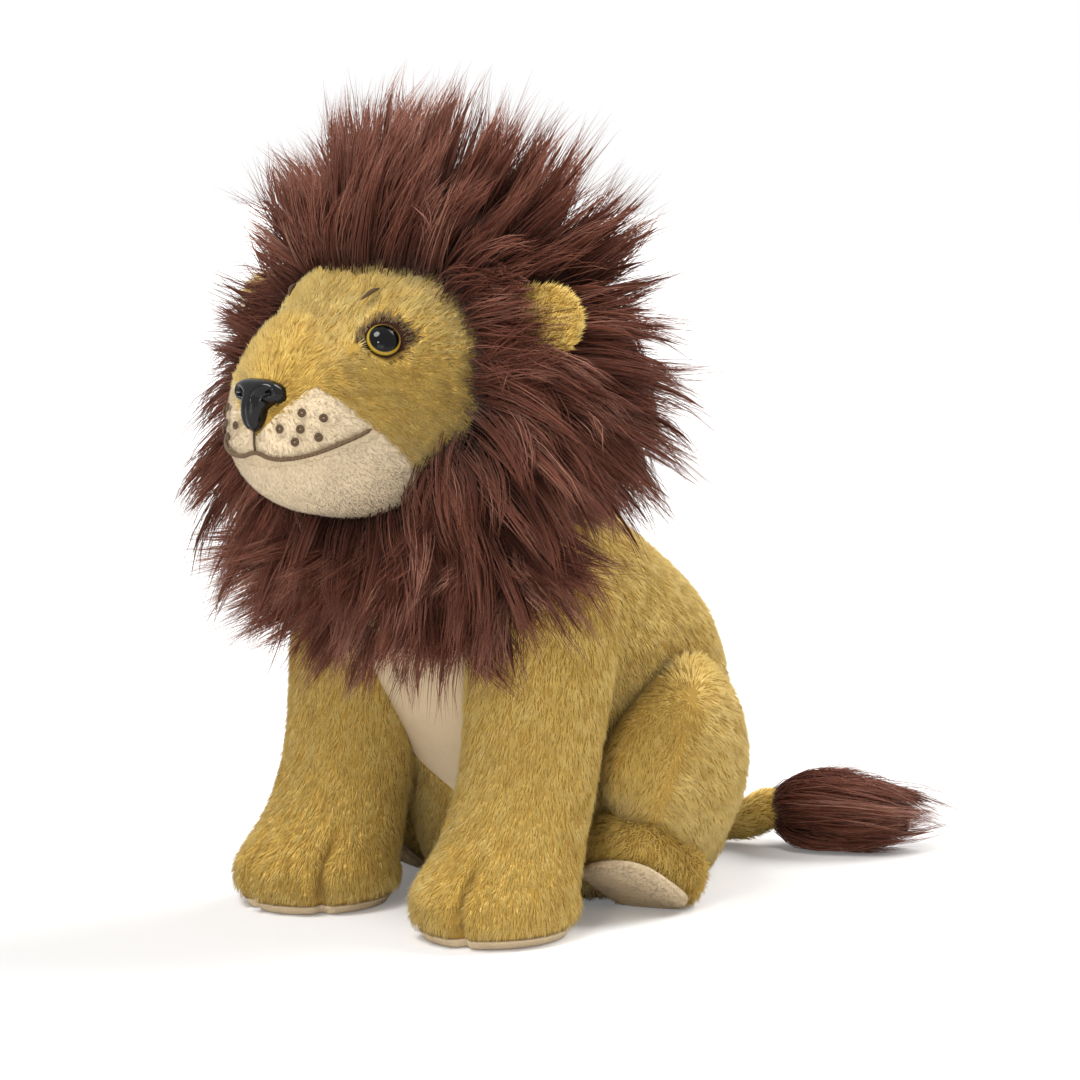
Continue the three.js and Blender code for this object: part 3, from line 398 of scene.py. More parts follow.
def foot_axes(side):
    """Turn and place of a hind foot, heel at its own origin and toes along -Y: rolled out, raised, turned
    in."""
    lift = np.array([
        [1, 0, 0],
        [0, math.cos(FOOT_LIFT), math.sin(FOOT_LIFT)],
        [0, -math.sin(FOOT_LIFT), math.cos(FOOT_LIFT)],
    ])
    c, s = math.cos(side * FOOT_TURN), math.sin(side * FOOT_TURN)
    turn = np.array([[c, s, 0], [-s, c, 0], [0, 0, 1]])
    c, s = math.cos(FOOT_ROLL), side * math.sin(FOOT_ROLL)
    roll = np.array([[c, 0, -s], [0, 1, 0], [s, 0, c]])
    return turn @ lift @ roll, np.array([side * FOOT_SPREAD, HEEL_BACK, -HEEL_PRESS])


def on_floor(points, lowest):
    """Points pressed flat where they would sink under a height."""
    return np.stack([points[..., 0], points[..., 1], np.maximum(points[..., 2], lowest)], -1)


def foot_form(side, grow):
    """Hind foot: ovals along its sole that close round the heel and the toes, flat where the sole is sewn
    on."""
    t = 0.5 - 0.5 * np.cos(np.linspace(0.05, math.pi - 0.05, 60))
    round_ = np.sqrt(np.maximum(1 - (2 * t - 1) ** 4, 0))[:, None]
    along = (-(FOOT_LENGTH + 2 * grow) * t + grow)[:, None]
    p = turns(90)
    tall = np.maximum(FOOT_DEPTH / 2 * round_ + grow, 0.05) * np.sin(p)
    local = np.stack([
        np.maximum(FOOT_WIDTH / 2 * round_ + grow, 0.05) * np.cos(p),
        along + 0 * p,
        np.maximum(FOOT_DEPTH / 2 - 2 + tall, SOLE + 0.4),
    ], -1)
    axes, place = foot_axes(side)
    return loft(on_floor(local @ axes.T + place, 1.0))


def in_foot(points, side, grow):
    """How far inside the hind foot's rounded block a point lies: under 1 is inside."""
    axes, place = foot_axes(side)
    local = (points - place) @ axes
    t = np.clip(-local[..., 1] / FOOT_LENGTH, 0, 1)
    round_ = np.sqrt(np.maximum(1 - (2 * t - 1) ** 4, 0))
    a, b = (np.maximum(v / 2 * round_ + grow, 0.05) for v in (FOOT_WIDTH, FOOT_DEPTH))
    return (local[..., 0] / a) ** 2 + ((local[..., 2] - FOOT_DEPTH / 2 + 2) / b) ** 2


def hind_sole_form(side):
    """Sole of a hind foot: a flat pad along the foot with full edges, pressed on the floor at the heel."""
    t = 0.5 - 0.5 * np.cos(np.linspace(0.06, math.pi - 0.06, 44))
    round_ = np.sqrt(np.maximum(1 - (2 * t - 1) ** 4, 0))[:, None]
    p = turns(64)
    local = np.stack([
        12 * round_ * np.cos(p),
        (-6.5 - (FOOT_LENGTH - 7.5) * t)[:, None] + 0 * p,
        0.9 + 1.5 * np.sign(np.sin(p)) * np.abs(np.sin(p)) ** 0.5 * round_**0.5,
    ], -1)
    axes, place = foot_axes(side)
    return loft(on_floor(local @ axes.T + place, 0.15))


def head_point(back, angle, grow):
    """Point of the head some way back from the muzzle and turned round from the left side upward: an oval
    from the bottom line to the top line, narrowed towards the top over the eyes."""
    top, bottom = head_top(back) + grow, head_bottom(back) - grow
    rise = np.sin(angle)
    narrow = 1 - head_pinch(back) * ((1 + rise) / 2) ** 2
    half = np.maximum(head_width(back) / 2 + grow, 0.05) * narrow
    along = (back - HEAD_LENGTH / 2) * (1 + 2 * grow / HEAD_LENGTH) + HEAD_LENGTH / 2 - MUZZLE_TIP
    height = (top + bottom) / 2 + np.maximum(top - bottom, 0.1) / 2 * rise
    return np.stack(np.broadcast_arrays(half * np.cos(angle), along, height), -1)


def head_out(back, angle):
    """Outward direction of the head there, square to a step back and a step round."""
    along = head_point(back + 0.4, angle, 0) - head_point(back - 0.4, angle, 0)
    round_ = head_point(back, angle + 0.02, 0) - head_point(back, angle - 0.02, 0)
    return unit(np.cross(round_, along))


def head_form(grow):
    """Whole head: ovals closer together at the muzzle."""
    back = HEAD_LENGTH * np.linspace(0.002, 1, 150) ** 1.5
    angle = turns(190)
    return loft(on_floor(head_point(back[:, None], angle[None], grow), HEAD_BASE + 0.2))


def head_place(points):
    """How far back on the head points are, and their turn up from the widest line in degrees, by their
    height."""
    back = points[..., 1] + MUZZLE_TIP
    top, bottom = head_top(back), head_bottom(back)
    rise = np.clip((2 * points[..., 2] - top - bottom) / np.maximum(top - bottom, 1), -1, 1)
    return back, np.degrees(np.arcsin(rise))


def face_spot(x, height):
    """Points on the front of the head at sideways distances and heights: the first section back that covers
    them."""
    back = np.linspace(0.05, HEAD_LENGTH / 2, 900)[:, None]
    top, bottom = head_top(back), head_bottom(back)
    rise = (2 * height - top - bottom) / (top - bottom)
    reach = np.abs(head_point(back, np.arcsin(np.clip(rise, -1, 1)), 0)[..., 0])
    covered = (np.abs(rise) < 1) & (reach > np.abs(x))
    return np.stack([x, back[np.argmax(covered, axis=0), 0] - MUZZLE_TIP, height], -1)


def is_pale(points):
    """Whether points of the head lie in front of the cheek seam and beside the bridge of the nose."""
    x, y, z = points[..., 0], points[..., 1], points[..., 2]
    slope = math.radians(43)
    front = (y + 112) * math.sin(slope) + (z - 143) * math.cos(slope) < 0
    return front & ~(np.abs(x) < math.tan(math.radians(47)) * (z - 138))


def is_chin(points):
    """Whether points lie under the seam between the muzzle and the chin."""
    return points[..., 2] < 131 + 0.42 * (points[..., 1] + 125)


def mane_point(t, p):
    """Outside of the mane from its front (0) to its back (1) and turned round from the left side upward."""
    up, corner = np.sin(p), np.sin(2 * p) ** 2
    fall = np.where(up < 0, 0.15 * corner, -0.07 * t * up + 0.05 * corner)
    radius = np.maximum(mane_radius(t) * (1 + fall), 0.004)
    height = MANE_LEVEL + MANE_HEIGHT / 2 * radius * up
    hang = 0.5 * np.maximum(MANE_LEVEL - height, 0) * (1 - 0.5 * t)
    along = MANE_FRONT - MUZZLE_TIP + MANE_DEPTH * t - hang - 9 * np.maximum(up, 0) ** 2 * (1 - t)
    return np.stack([MANE_WIDTH / 2 * radius * np.cos(p), along, height], -1)


def ear_axes(side):
    """Base of an ear and its directions across, behind and out."""
    out = EAR_OUT * [side, 1, 1]
    behind = np.array([0.0, 1, 0])
    return EAR_BASE * [side, 1, 1], np.cross(behind, out), behind, out


def ear_form(side):
    """Ear: rings from a round foot to a half-oval crown, full behind and hollowed in front."""
    arc = np.sin(np.linspace(0, math.pi / 2, 34))
    height = np.concatenate([np.linspace(-3, 0, 6)[:-1], EAR_LENGTH * arc])
    foot = np.sqrt(np.maximum(1 - (np.minimum(height, 0) / 3) ** 2, 0.02))
    crown = np.sqrt(np.maximum(1 - np.maximum(height / EAR_LENGTH, 0) ** 2.4, 0.002))
    p = turns(60)
    half = ((EAR_WIDTH / 2 - 1.4) * crown * (0.6 + 0.4 * foot))[:, None]
    deep = (1.7 * foot * np.maximum(crown, 0.2))[:, None]
    hollow = 1.6 * (np.clip(height / EAR_LENGTH, 0, 1) * crown)[:, None] * np.sin(p) ** 2
    depth = deep * np.sin(p) + np.where(np.sin(p) < 0, hollow, hollow * 0.6)
    base, across, behind, out = ear_axes(side)
    return loft(
        base + (half * np.cos(p))[..., None] * across + depth[..., None] * behind
        + (height[:, None] + 0 * p)[..., None] * out)


TAIL_STEPS = np.array([[0, 0, 0], [3.41, 5.58, 0], [11.78, 10.85, 0.6], [20.15, 13.95, 4], [64.35, 35.79, 3]])
TAIL_REACH = np.concatenate([[0], np.cumsum(np.linalg.norm(np.diff(TAIL_STEPS, axis=0), axis=1))])
TAIL_SPAN = TAIL_REACH[-1]
TUFT_START = TAIL_SPAN - 52 * 0.93


def tail_point(reach):
    """Point on the tail's middle line this far along it."""
    return TAIL_ROOT + np.stack([through(*zip(TAIL_REACH, TAIL_STEPS[:, n]))(reach) for n in range(3)], -1)


# Materials

class Socket:
    """A number in a material that plain arithmetic works on."""

    def __init__(self, sheet_, socket):
        self.sheet, self.socket = sheet_, socket

    def _by(self, kind, first, second):
        """One step of arithmetic as a node."""
        return self.sheet.make("ShaderNodeMath", {"operation": kind}, {0: first, 1: second})

    def __add__(self, other):
        return self._by("ADD", self, other)

    def __mul__(self, other):
        return self._by("MULTIPLY", self, other)

    def __pow__(self, other):
        return self._by("POWER", self, other)

    __radd__, __rmul__ = __add__, __mul__


class Sheet:
    """One material, or the world, with its nodes."""

    def __init__(self, owner):
        owner.use_nodes = True
        self.owner, self.tree = owner, owner.node_tree
        self.tree.nodes.clear()

    def make(self, kind, settings=None, inputs=None, output=0, stops=None):
        """Makes a node from its type, its settings, its ramp stops and its socket values or links."""
        node = self.tree.nodes.new(kind)
        for name, value in (settings or {}).items():
            setattr(node, name, value)
        if stops:
            row = node.color_ramp.elements
            row.remove(row[1])
            row[0].position, row[0].color = stops[0]
            for place, colour in stops[1:]:
                row.new(place).color = colour
        for name, value in (inputs or {}).items():
            if isinstance(value, Socket):
                self.tree.links.new(value.socket, node.inputs[name])
            else:
                node.inputs[name].default_value = value
        return Socket(self, node.outputs[output]) if len(node.outputs) else node

    def ramp(self, factor, *stops):
        """Colour read from a row of stops by a factor."""
        return self.make("ShaderNodeValToRGB", inputs={0: factor}, stops=stops)

    def mix(self, factor, first, second):
        """One colour turned into another by a factor."""
        return self.make("ShaderNodeMix", {"data_type": "RGBA"}, {0: factor, 6: first, 7: second}, 2)

    def map(self):
        """The two numbers of the mesh's own map."""
        place = self.make("ShaderNodeUVMap", {"uv_map": "OFBake"})
        return tuple(self.make("ShaderNodeSeparateXYZ", inputs={0: place}, output=n) for n in (0, 1))

    def noise(self, scale):
        """Cloudy unevenness fixed to the object, this many clouds per metre."""
        place = self.make("ShaderNodeTexCoord", output=3)
        return self.make("ShaderNodeTexNoise", inputs={"Vector": place, "Scale": scale, "Detail": 2.0})

    def noted(self, name):
        """The number that the mesh's points carry under a name."""
        return self.make("ShaderNodeAttribute", {"attribute_name": name}, output=2)

    def bump(self, height, distance):
        """Small relief from a height, as deep as a distance in millimetres."""
        inputs = {"Height": height, "Distance": distance * MM, "Strength": 0.6}
        return self.make("ShaderNodeBump", inputs=inputs)

    def surface(self, **inputs):
        """Ends the material in one surface with these values."""
        longer = {"IOR_Level": "Specular IOR Level"}
        inputs = {longer.get(name, name.replace("_", " ")): value for name, value in inputs.items()}
        shader = self.make("ShaderNodeBsdfPrincipled", inputs=inputs)
        self.make("ShaderNodeOutputMaterial", inputs={"Surface": shader})
        return self.owner


def new_sheet(name):
    """Sheet of a new material."""
    return Sheet(bpy.data.materials.new(name))


def pile_material(name, roots, tips, rough, sheen, sheen_tint, bend=1.0):
    """Fibres whose colour goes from a root ramp to a tip ramp, both read across the tone of the fibre. The
    darker roots are painted shade deep in the pile.
    """
    sheet_ = new_sheet(name)
    tone, reach = sheet_.map()
    colour = sheet_.mix(reach**bend, sheet_.ramp(tone, *roots), sheet_.ramp(tone, *tips))
    return sheet_.surface(
        Base_Color=colour, Roughness=rough, IOR_Level=0.12, Sheen_Weight=sheen, Sheen_Roughness=0.4,
        Sheen_Tint=sheen_tint)


def cloth_material(name, light, dark, tinted):
    """Backing cloth under the pile, uneven, and tinted where its points say so."""
    sheet_ = new_sheet(name)
    weave = sheet_.noise(900)
    plain = sheet_.mix(sheet_.noise(120), dark, light)
    colour = sheet_.mix(sheet_.noted("tint"), plain, tinted)
    return sheet_.surface(Base_Color=colour, Roughness=0.95, IOR_Level=0.15, Normal=sheet_.bump(weave, 0.4))


# Each pile's root ramp is darker than its tip ramp: painted shade deep in the pile between the fibres.
GOLD = pile_material(
    "gold_pile",
    [(0.0, srgb(146, 112, 48)), (0.3, srgb(202, 165, 82)), (0.6, srgb(232, 198, 116)),
     (0.68, srgb(54, 39, 23)), (0.8, srgb(78, 58, 36)), (1.0, srgb(78, 58, 36))],
    [(0.0, srgb(196, 154, 72)), (0.3, srgb(242, 206, 110)), (0.6, srgb(254, 232, 152)),
     (0.68, srgb(92, 70, 44)), (0.8, srgb(118, 92, 60)), (1.0, srgb(118, 92, 60))],
    0.7, 0.5, srgb(255, 236, 178), 0.55)
# Darker roots: painted shade deep in the pile.
CREAM = pile_material(
    "cream_pile",
    [(0.0, srgb(172, 146, 110)), (0.5, srgb(212, 190, 156)), (1.0, srgb(224, 206, 176))],
    [(0.0, srgb(192, 167, 128)), (0.5, srgb(228, 210, 180)), (1.0, srgb(236, 222, 200))],
    0.8, 0.2, srgb(255, 244, 226))
# Darker roots: painted shade deep in the hair.
MANE = pile_material(
    "mane_pile",
    [(0.0, srgb(28, 12, 7)), (0.5, srgb(62, 30, 21)), (1.0, srgb(98, 54, 41))],
    [(0.0, srgb(82, 40, 28)), (0.5, srgb(124, 73, 56)), (1.0, srgb(188, 138, 118))],
    0.65, 0.15, srgb(255, 208, 190), 0.8)
# Its dark brown tint is the eye patches' own colour, and painted shade under the mane and the ruff and in the
# ears' hollows.
GOLD_CLOTH = cloth_material("gold_cloth", srgb(188, 152, 76), srgb(166, 132, 62), srgb(50, 28, 21))
CREAM_CLOTH = cloth_material("cream_cloth", srgb(224, 204, 172), srgb(210, 188, 154), srgb(120, 96, 72))
# Cloth of the shells inside the mane and the tuft: the hair's brown darkened into painted shade.
BROWN_SHADE_CLOTH = cloth_material("brown_shade_cloth", srgb(46, 25, 19), srgb(32, 16, 11), srgb(32, 16, 11))


def thread_material():
    """Embroidery thread: brown, with the twist of its strands as slanting ridges along its map, lighter on
    the ridges and darker in the grooves as painted shade.
    """
    sheet_ = new_sheet("brown_thread")
    along, round_ = sheet_.map()
    twist = sheet_.make("ShaderNodeMath", {"operation": "SINE"}, {0: (along * 60 + round_) * 6.2832})
    # Darker in the grooves of the twist: painted shade.
    colour = sheet_.mix(twist * 0.5 + 0.5, srgb(74, 54, 33), srgb(108, 82, 52))
    return sheet_.surface(Base_Color=colour, Roughness=0.7, Normal=sheet_.bump(twist, 0.15))


def eye_material():
    """Toy eye: a black middle, a thin gold ring and a dark rim by the distance from the centre, under
    gloss."""
    sheet_ = new_sheet("eye_gloss")
    _, reach = sheet_.map()
    black, gold, rim = srgb(5, 4, 4), srgb(172, 142, 50), srgb(50, 36, 18)
    colour = sheet_.ramp(reach, (0.0, black), (0.84, black), (0.88, gold), (0.95, gold), (0.98, rim))
    return sheet_.surface(Base_Color=colour, Roughness=0.06, IOR_Level=0.2)


def nose_material():
    """Moulded black plastic with a faint grain."""
    sheet_ = new_sheet("nose_gloss")
    grain = sheet_.noise(700)
    return sheet_.surface(
        Base_Color=srgb(9, 7, 7), Roughness=0.1 + 0.08 * grain, Normal=sheet_.bump(grain, 0.05),
        IOR_Level=0.3)


def washer_material():
    """Plain moulded plastic."""
    sheet_ = new_sheet("washer_satin")
    colour = sheet_.mix(sheet_.noise(200), srgb(226, 226, 222), srgb(234, 234, 231))
    return sheet_.surface(Base_Color=colour, Roughness=0.5)


THREAD, EYE, NOSE, WASHER = thread_material(), eye_material(), nose_material(), washer_material()


# Pile

def scatter(form, density, seed, keeps=None):
    """Random places on a form, this many per square millimetre: a triangle drawn by its area, an even spot in
    it, and the outward direction blended from its corners."""
    rng = np.random.default_rng(seed)
    points, faces = form
    outs = normals_of(points, faces)
    tri = triangles_of(faces)
    a, b, c = (points[tri[:, n]] for n in range(3))
    area = np.linalg.norm(np.cross(b - a, c - a), axis=1) / 2
    pick = rng.choice(len(tri), int(area.sum() * density), p=area / area.sum())
    u, v = rng.random((2, len(pick)))
    u, v = np.where(u + v > 1, 1 - u, u)[:, None], np.where(u + v > 1, 1 - v, v)[:, None]
    place = a[pick] * (1 - u - v) + b[pick] * u + c[pick] * v
    out = unit(outs[tri[pick, 0]] * (1 - u - v) + outs[tri[pick, 1]] * u + outs[tri[pick, 2]] * v)
    if keeps is not None:
        kept = keeps(place)
        place, out = place[kept], out[kept]
    return place, out


def fibres(place, out, nap, length, seed, lean=1.3, spread=0.3, clump=1.7, pull=0.6, width=0.27, loose=1.0):
    """Short fibres: each stands on its root, leans from the outward direction towards the nap by about the
    given angle, turns with a soft wave and a little at random, and its tip is drawn sideways towards the
    middle of its clump. A flat side faces out, rolled alike within a clump, two narrow ones lie under it,
    and all meet in the tip. Gives the points and the faces."""
    rng = np.random.default_rng(seed)
    count = len(place)
    lie = unit(nap - dot(nap, out) * out)
    turn = spread * (0.5 * rng.normal(size=(count, 1)) + 1.1 * mottle(place, 8)[:, None])
    lie = np.cos(turn) * lie + np.sin(turn) * np.cross(out, lie)
    tilt = np.clip(lean + loose * rng.normal(0, 0.09, (count, 1)), 0.1, 1.45)
    reach = np.reshape(length, (-1, 1)) * rng.uniform(0.75, 1.15, (count, 1))
    cell = np.floor(place / clump)
    middle = (cell + 0.15 + 0.7 * np.stack([scramble(cell, n) for n in range(3)], -1)) * clump
    draw = middle - place
    draw = draw - 0.8 * dot(draw, lie) * lie
    tip = place + (np.cos(tilt) * out + np.sin(tilt) * lie) * reach + pull * (draw - dot(draw, out) * out)
    root = place - 0.4 * out
    ahead = unit(tip - root)
    flat = unit(out - dot(out, ahead) * ahead)
    roll = loose * (1.3 * (scramble(cell, 5)[:, None] - 0.5) + rng.normal(0, 0.15, (count, 1)))
    flat = np.cos(roll) * flat + np.sin(roll) * np.cross(ahead, flat)
    across = np.cross(ahead, flat)
    corners = [root + width * across, root - 0.7 * width * flat, root - width * across]
    points = on_floor(np.stack([*corners, tip], 1).reshape(-1, 3), 0.1)
    base = np.arange(count)[:, None] * 4
    faces = (base[:, None] + np.array([[0, 1, 3], [1, 2, 3], [2, 0, 3], [0, 2, 1]])).reshape(-1, 3)
    return points, [faces]


def pile(name, roots, nap, tone, length, material, body, slot, seed, **style):
    """One piece of short pile on scattered roots, each fibre with its own tone from 0 to 1."""
    place, out = roots
    made = piece(name, fibres(place, out, nap, length, seed, **style), material, body, smooth=False)
    u = np.clip(tone, 0.01, 0.99)[:, None, None] + np.array([-0.004, 0.0, 0.004, 0.0])
    v = np.broadcast_to(np.array([0.03, 0.0, 0.03, 0.98]), u.shape)
    order = np.array([0, 1, 3, 1, 2, 3, 2, 0, 3, 0, 2, 1])
    chart(made, u[:, 0, order].ravel(), v[:, 0, order].ravel())


def gold_tone(place, seed, level=0.32):
    """Tone of golden fibres: a level, soft unevenness in two sizes, one step per clump and a little
    chance."""
    rng = np.random.default_rng(seed)
    clumps = scramble(np.floor(place / 2.6), 7) - 0.5
    tone = level + 0.05 * mottle(place, 34) + 0.07 * mottle(place, 11) + 0.15 * clumps
    return np.clip(tone + rng.normal(0, 0.05, len(place)), 0.1, 0.6)


STRAND = np.array([0.14, 0.14, 0.13, 0.1, 0.0])  # radius of long hair at even steps from root to tip
STEPS = np.linspace(0, 1, len(STRAND))


def strands(paths, seed):
    """Long fibres along paths of points: three-sided, thinner towards the last point, where they close."""
    rng = np.random.default_rng(seed)
    count, steps = paths.shape[:2]
    ahead = unit(np.gradient(paths, axis=1))
    across = unit(np.cross(ahead, unit(rng.normal(size=(count, 1, 3)))))
    up = np.cross(ahead, across)
    turn = np.arange(3)[:, None] * 2 * math.pi / 3
    ring = (np.cos(turn) * across[:, :-1, None] + np.sin(turn) * up[:, :-1, None]) * STRAND[:-1, None, None]
    body = (paths[:, :-1, None] + ring).reshape(count, -1, 3)
    points = np.concatenate([body, paths[:, -1:]], axis=1)
    size = points.shape[1]
    start = np.arange(count)[:, None] * size
    quads = ring_quads(steps - 1, 3)
    last = (steps - 2) * 3
    tip = size - 1
    ends = np.array([[last, last + 1, tip], [last + 1, last + 2, tip], [last + 2, last, tip], [0, 2, 1]])
    faces = [(start[:, None] + quads).reshape(-1, 4), (start[:, None] + ends).reshape(-1, 3)]
    return points.reshape(-1, 3), faces


def hair(name, paths, tone, body, seed):
    """One piece of long hair, with its map: the strand's tone across and root to tip along."""
    steps = paths.shape[1]
    form = strands(paths, seed)
    made = piece(name, form, MANE, body)
    size = (steps - 1) * 3 + 1
    level = np.concatenate([np.repeat(np.arange(steps - 1), 3), [steps - 1]]) / (steps - 1)
    offset = np.concatenate([np.tile([-0.004, 0.0, 0.004], steps - 1), [0.0]])
    sway = np.concatenate([np.tile([0.01, 0.0, 0.01], steps - 1), [0.0]])
    corners = corners_of(form[1])
    strand, point = corners // size, corners % size
    chart(made, np.clip(tone, 0.01, 0.99)[strand] + offset[point], np.clip(level[point] + sway[point], 0, 1))
    return made


# Torso and bib

DOWN = np.array([0.0, 0.2, -1.0])
torso = torso_form(-GOLD_SINK)
# Under the ruff the torso cloth takes the dark brown tint: painted shade under the hair.
in_ruff = (torso[0][:, 2] > 91) & (torso[0][:, 1] < -47)
cover("torso_cloth", torso, GOLD_CLOTH, "torso", ("torso_cover", "torso_filling"),
      in_ruff)

cover("bib_cloth", bib_form(-CREAM_SINK), CREAM_CLOTH, "torso", ("belly_panel",),
      thick=1.4)


def shows_on_torso(place):
    """Whether pile on the torso can be seen: not on the bib, the seat or under a leg, a thigh or the mane."""
    x, y, z = place[:, 0], place[:, 1], place[:, 2]
    on_bib = (np.abs(x) < bib_half(z) - 0.6) & (y < -torso_forward(z)) & (z > 32)
    covered = np.zeros(len(place), bool)
    for _, side in SIDES:
        for inside in (in_leg, in_thigh, in_foot):
            covered |= inside(place, side, -3.5) < 1
    under_mane = ((y < -45) & (z > 90)) | ((y < -36) & (z > 108))
    return ~on_bib & ~covered & (z > 2.5) & ~under_mane


roots = scatter(torso, 2.6, 11, shows_on_torso)
for label, side in SIDES:
    half = roots[0][:, 0] * side >= 0
    place, out = roots[0][half], roots[1][half]
    pile(f"torso_pile_{label}", (place, out), DOWN + 0 * place, gold_tone(place, 12), GOLD_PILE, GOLD,
         "torso", "gold_plush", 13)


# Front legs

def shows_on_leg(place):
    """Whether pile on a front leg can be seen: not on its sole, in the torso or under the mane."""
    under_mane = (place[:, 2] >= 92) & (place[:, 1] <= -66)
    return (place[:, 2] > 6) & (in_torso(place, -3.5) > 1) & ~under_mane


for label, side in SIDES:
    body = f"front_leg_{label}"
    leg = leg_form(side, -GOLD_SINK)
    cover(f"front_leg_cloth_{label}", leg, GOLD_CLOTH, body,
          (f"front_leg_{label}", f"front_leg_filling_{label}"))
    place, out = scatter(leg, 2.75, 21, shows_on_leg)
    outward = side * (place[:, 0] - side * FRONT_LEG_SPREAD)
    turn = np.arctan2(outward, -(place[:, 1] + leg_forward(place[:, 2])))
    crease = toe_crease(turn, place[:, 2])
    nap = np.array([0, -0.25, -1.0]) + 0 * place
    # Pile in the toe creases takes a lower tone: painted shade in the creases.
    tone = np.clip(gold_tone(place, 22) - 0.4 * crease, 0.01, 0.6)
    length = GOLD_PILE * (1 - 0.45 * np.minimum(crease, 1))
    pile(f"front_leg_pile_{label}", (place, out), nap, tone, length, GOLD, body, "gold_plush", 23)
    sole = leg_form(side, -0.3, 0.3, SOLE + 0.2, 6)
    cover(f"front_sole_cloth_{label}", sole, CREAM_CLOTH, body, (f"front_sole_{label}",))

# Hind legs
WHORL = np.array([54.3, -10.2, 59.8])
THIGH_SEAM = np.array(
    [[53.2, -3.4, 63.1], [56, -13.8, 55.4], [57.3, -22.6, 44.1], [56.3, -26.7, 33.3], [54.3, -27.6, 27]])


def shows_on_foot(place, side):
    """Whether pile on a hind foot can be seen: not in the torso or the thigh, on the floor or where the
    sole is."""
    axes, origin = foot_axes(side)
    local = (place - origin) @ axes
    off_sole = (local[:, 2] > SOLE + 0.6) | (local[:, 1] > -7)
    return (in_torso(place, -3) > 1) & (in_thigh(place, side, -4) > 1) & off_sole & (place[:, 2] > 1.2)


for label, side in SIDES:
    body = f"hind_leg_{label}"
    thigh = thigh_form(side, -GOLD_SINK)
    cover(f"thigh_cloth_{label}", thigh, GOLD_CLOTH, body,
          (f"thigh_{label}", f"thigh_filling_{label}"))
    place, out = scatter(
        thigh, 3.4, 31, lambda p: (in_torso(p, -3.5) > 1) & (in_foot(p, side, -3.5) > 1) & (p[:, 2] > 3))
    away = place - WHORL * [side, 1, 1]
    parted = from_line(place, THIGH_SEAM * [side, 1, 1])
    apart = np.linalg.norm(parted, axis=1, keepdims=True)
    whorl = np.exp(-((np.linalg.norm(away, axis=1, keepdims=True) / 15) ** 2))
    nap = np.array([0, 0.25, -0.8]) + 1.3 * unit(away) * whorl
    nap = nap + 0.9 * unit(parted) * np.exp(-((apart / 9) ** 2))
    seam = np.exp(-((apart[:, 0] / 1.3) ** 2))
    # Pile along the seam takes a lower tone: painted shade in the parting.
    tone = np.clip(gold_tone(place, 32, 0.3) - 0.12 * seam, 0.01, 0.6)
    length = GOLD_PILE * (1 - 0.3 * seam)
    pile(f"thigh_pile_{label}", (place, out), nap, tone, length, GOLD, body, "gold_plush", 33, spread=0.32)
    foot = foot_form(side, -GOLD_SINK)
    cover(f"hind_foot_cloth_{label}", foot, GOLD_CLOTH, body,
          (f"hind_foot_{label}", f"hind_foot_filling_{label}"))
    place, out = scatter(foot, 3.8, 34, lambda p: shows_on_foot(p, side))
    nap = np.array([0, -0.8, -0.5]) + 0 * place
    pile(f"hind_foot_pile_{label}", (place, out), nap, gold_tone(place, 35, 0.28), GOLD_PILE, GOLD, body,
         "gold_plush", 36, spread=0.7, lean=1.1, pull=0.7)
    sole = hind_sole_form(side)
    cover(f"hind_sole_cloth_{label}", sole, CREAM_CLOTH, body, (f"hind_sole_{label}",))
    roots = scatter(sole, 3.6, 37, lambda p: p[:, 2] > 0.3)
    # The soles' pile takes the darkest cream tone: painted shade on the underside of the raised foot.
    pile(f"hind_sole_pile_{label}", roots, np.array([0, -0.7, -0.7]) + 0 * roots[0],
         0.06 + 0.05 * mottle(roots[0], 7), CREAM_PILE * 0.8, CREAM, body, "cream_plush", 38, lean=1.3,
         spread=0.5, clump=1.6, pull=0.3, width=0.2, loose=0.4)

# Head
eye_angle = {1: EYE_TURN, -1: math.pi - EYE_TURN}
EYE_SPOT = {side: head_point(np.array(EYE_BACK), np.array(a), 0) for side, a in eye_angle.items()}
EYE_WAY = {side: head_out(np.array(EYE_BACK), np.array(a)) for side, a in eye_angle.items()}
EYE_WAY = {side: v if v[0] * side > 0 else -v for side, v in EYE_WAY.items()}


def eye_patch(points):
    """Dark patch round each eye, 1 inside: an almond pointed at both ends, along the head and up from the
    eye."""
    from_eye = left_side(points) - EYE_SPOT[1]
    along = from_eye @ unit(np.array([0.574, 0.818, 0.03]))
    up = from_eye @ unit(np.array([-0.35, 0.2, 0.91]))
    middle = along - 0.8
    high = 7.6 * np.maximum(1 - np.abs(middle / 8.8) ** 1.8, 0)
    low = -5.4 * np.maximum(1 - np.abs(middle / 8.4) ** 1.5, 0)
    near = np.linalg.norm(from_eye, axis=-1) < 16
    return np.clip(np.minimum(high - up, up - low) / 0.9 + 0.5, 0, 1) * (np.abs(middle) < 8.8) * near


BRIDGE_SEAM = np.array([[12.9, -119.5, 150], [15.2, -113.5, 156.5], [17, -109.2, 161.9]])
BROW = np.array([[12.8, -101.1, 172.4], [14.6, -96.5, 175.1]])


def brow_slit(points):
    """Dark slit in the pile over each eye, 1 on its line, fading within about a millimetre."""
    return np.exp(-(np.linalg.norm(from_line(left_side(points), BROW), axis=-1) ** 2))


def before_hair(points, more=0.0):
    """Whether points of the head lie in front of the hairline, moved back by some more."""
    back, turn = head_place(points)
    return back < hairline(turn) + more


gold_face = part_of(*head_form(-FACE_SINK), lambda m: ~is_pale(m))
# Tinted dark brown in the eye patches, their own colour, and behind the hairline, where the mane's brown is
# deepened into painted shade under the hair.
dark = np.where(before_hair(gold_face[0], 1), eye_patch(gold_face[0]), 1)
cover("head_cloth", gold_face, GOLD_CLOTH, "head", ("head_cover", "head_filling"),
      dark, 1.2)

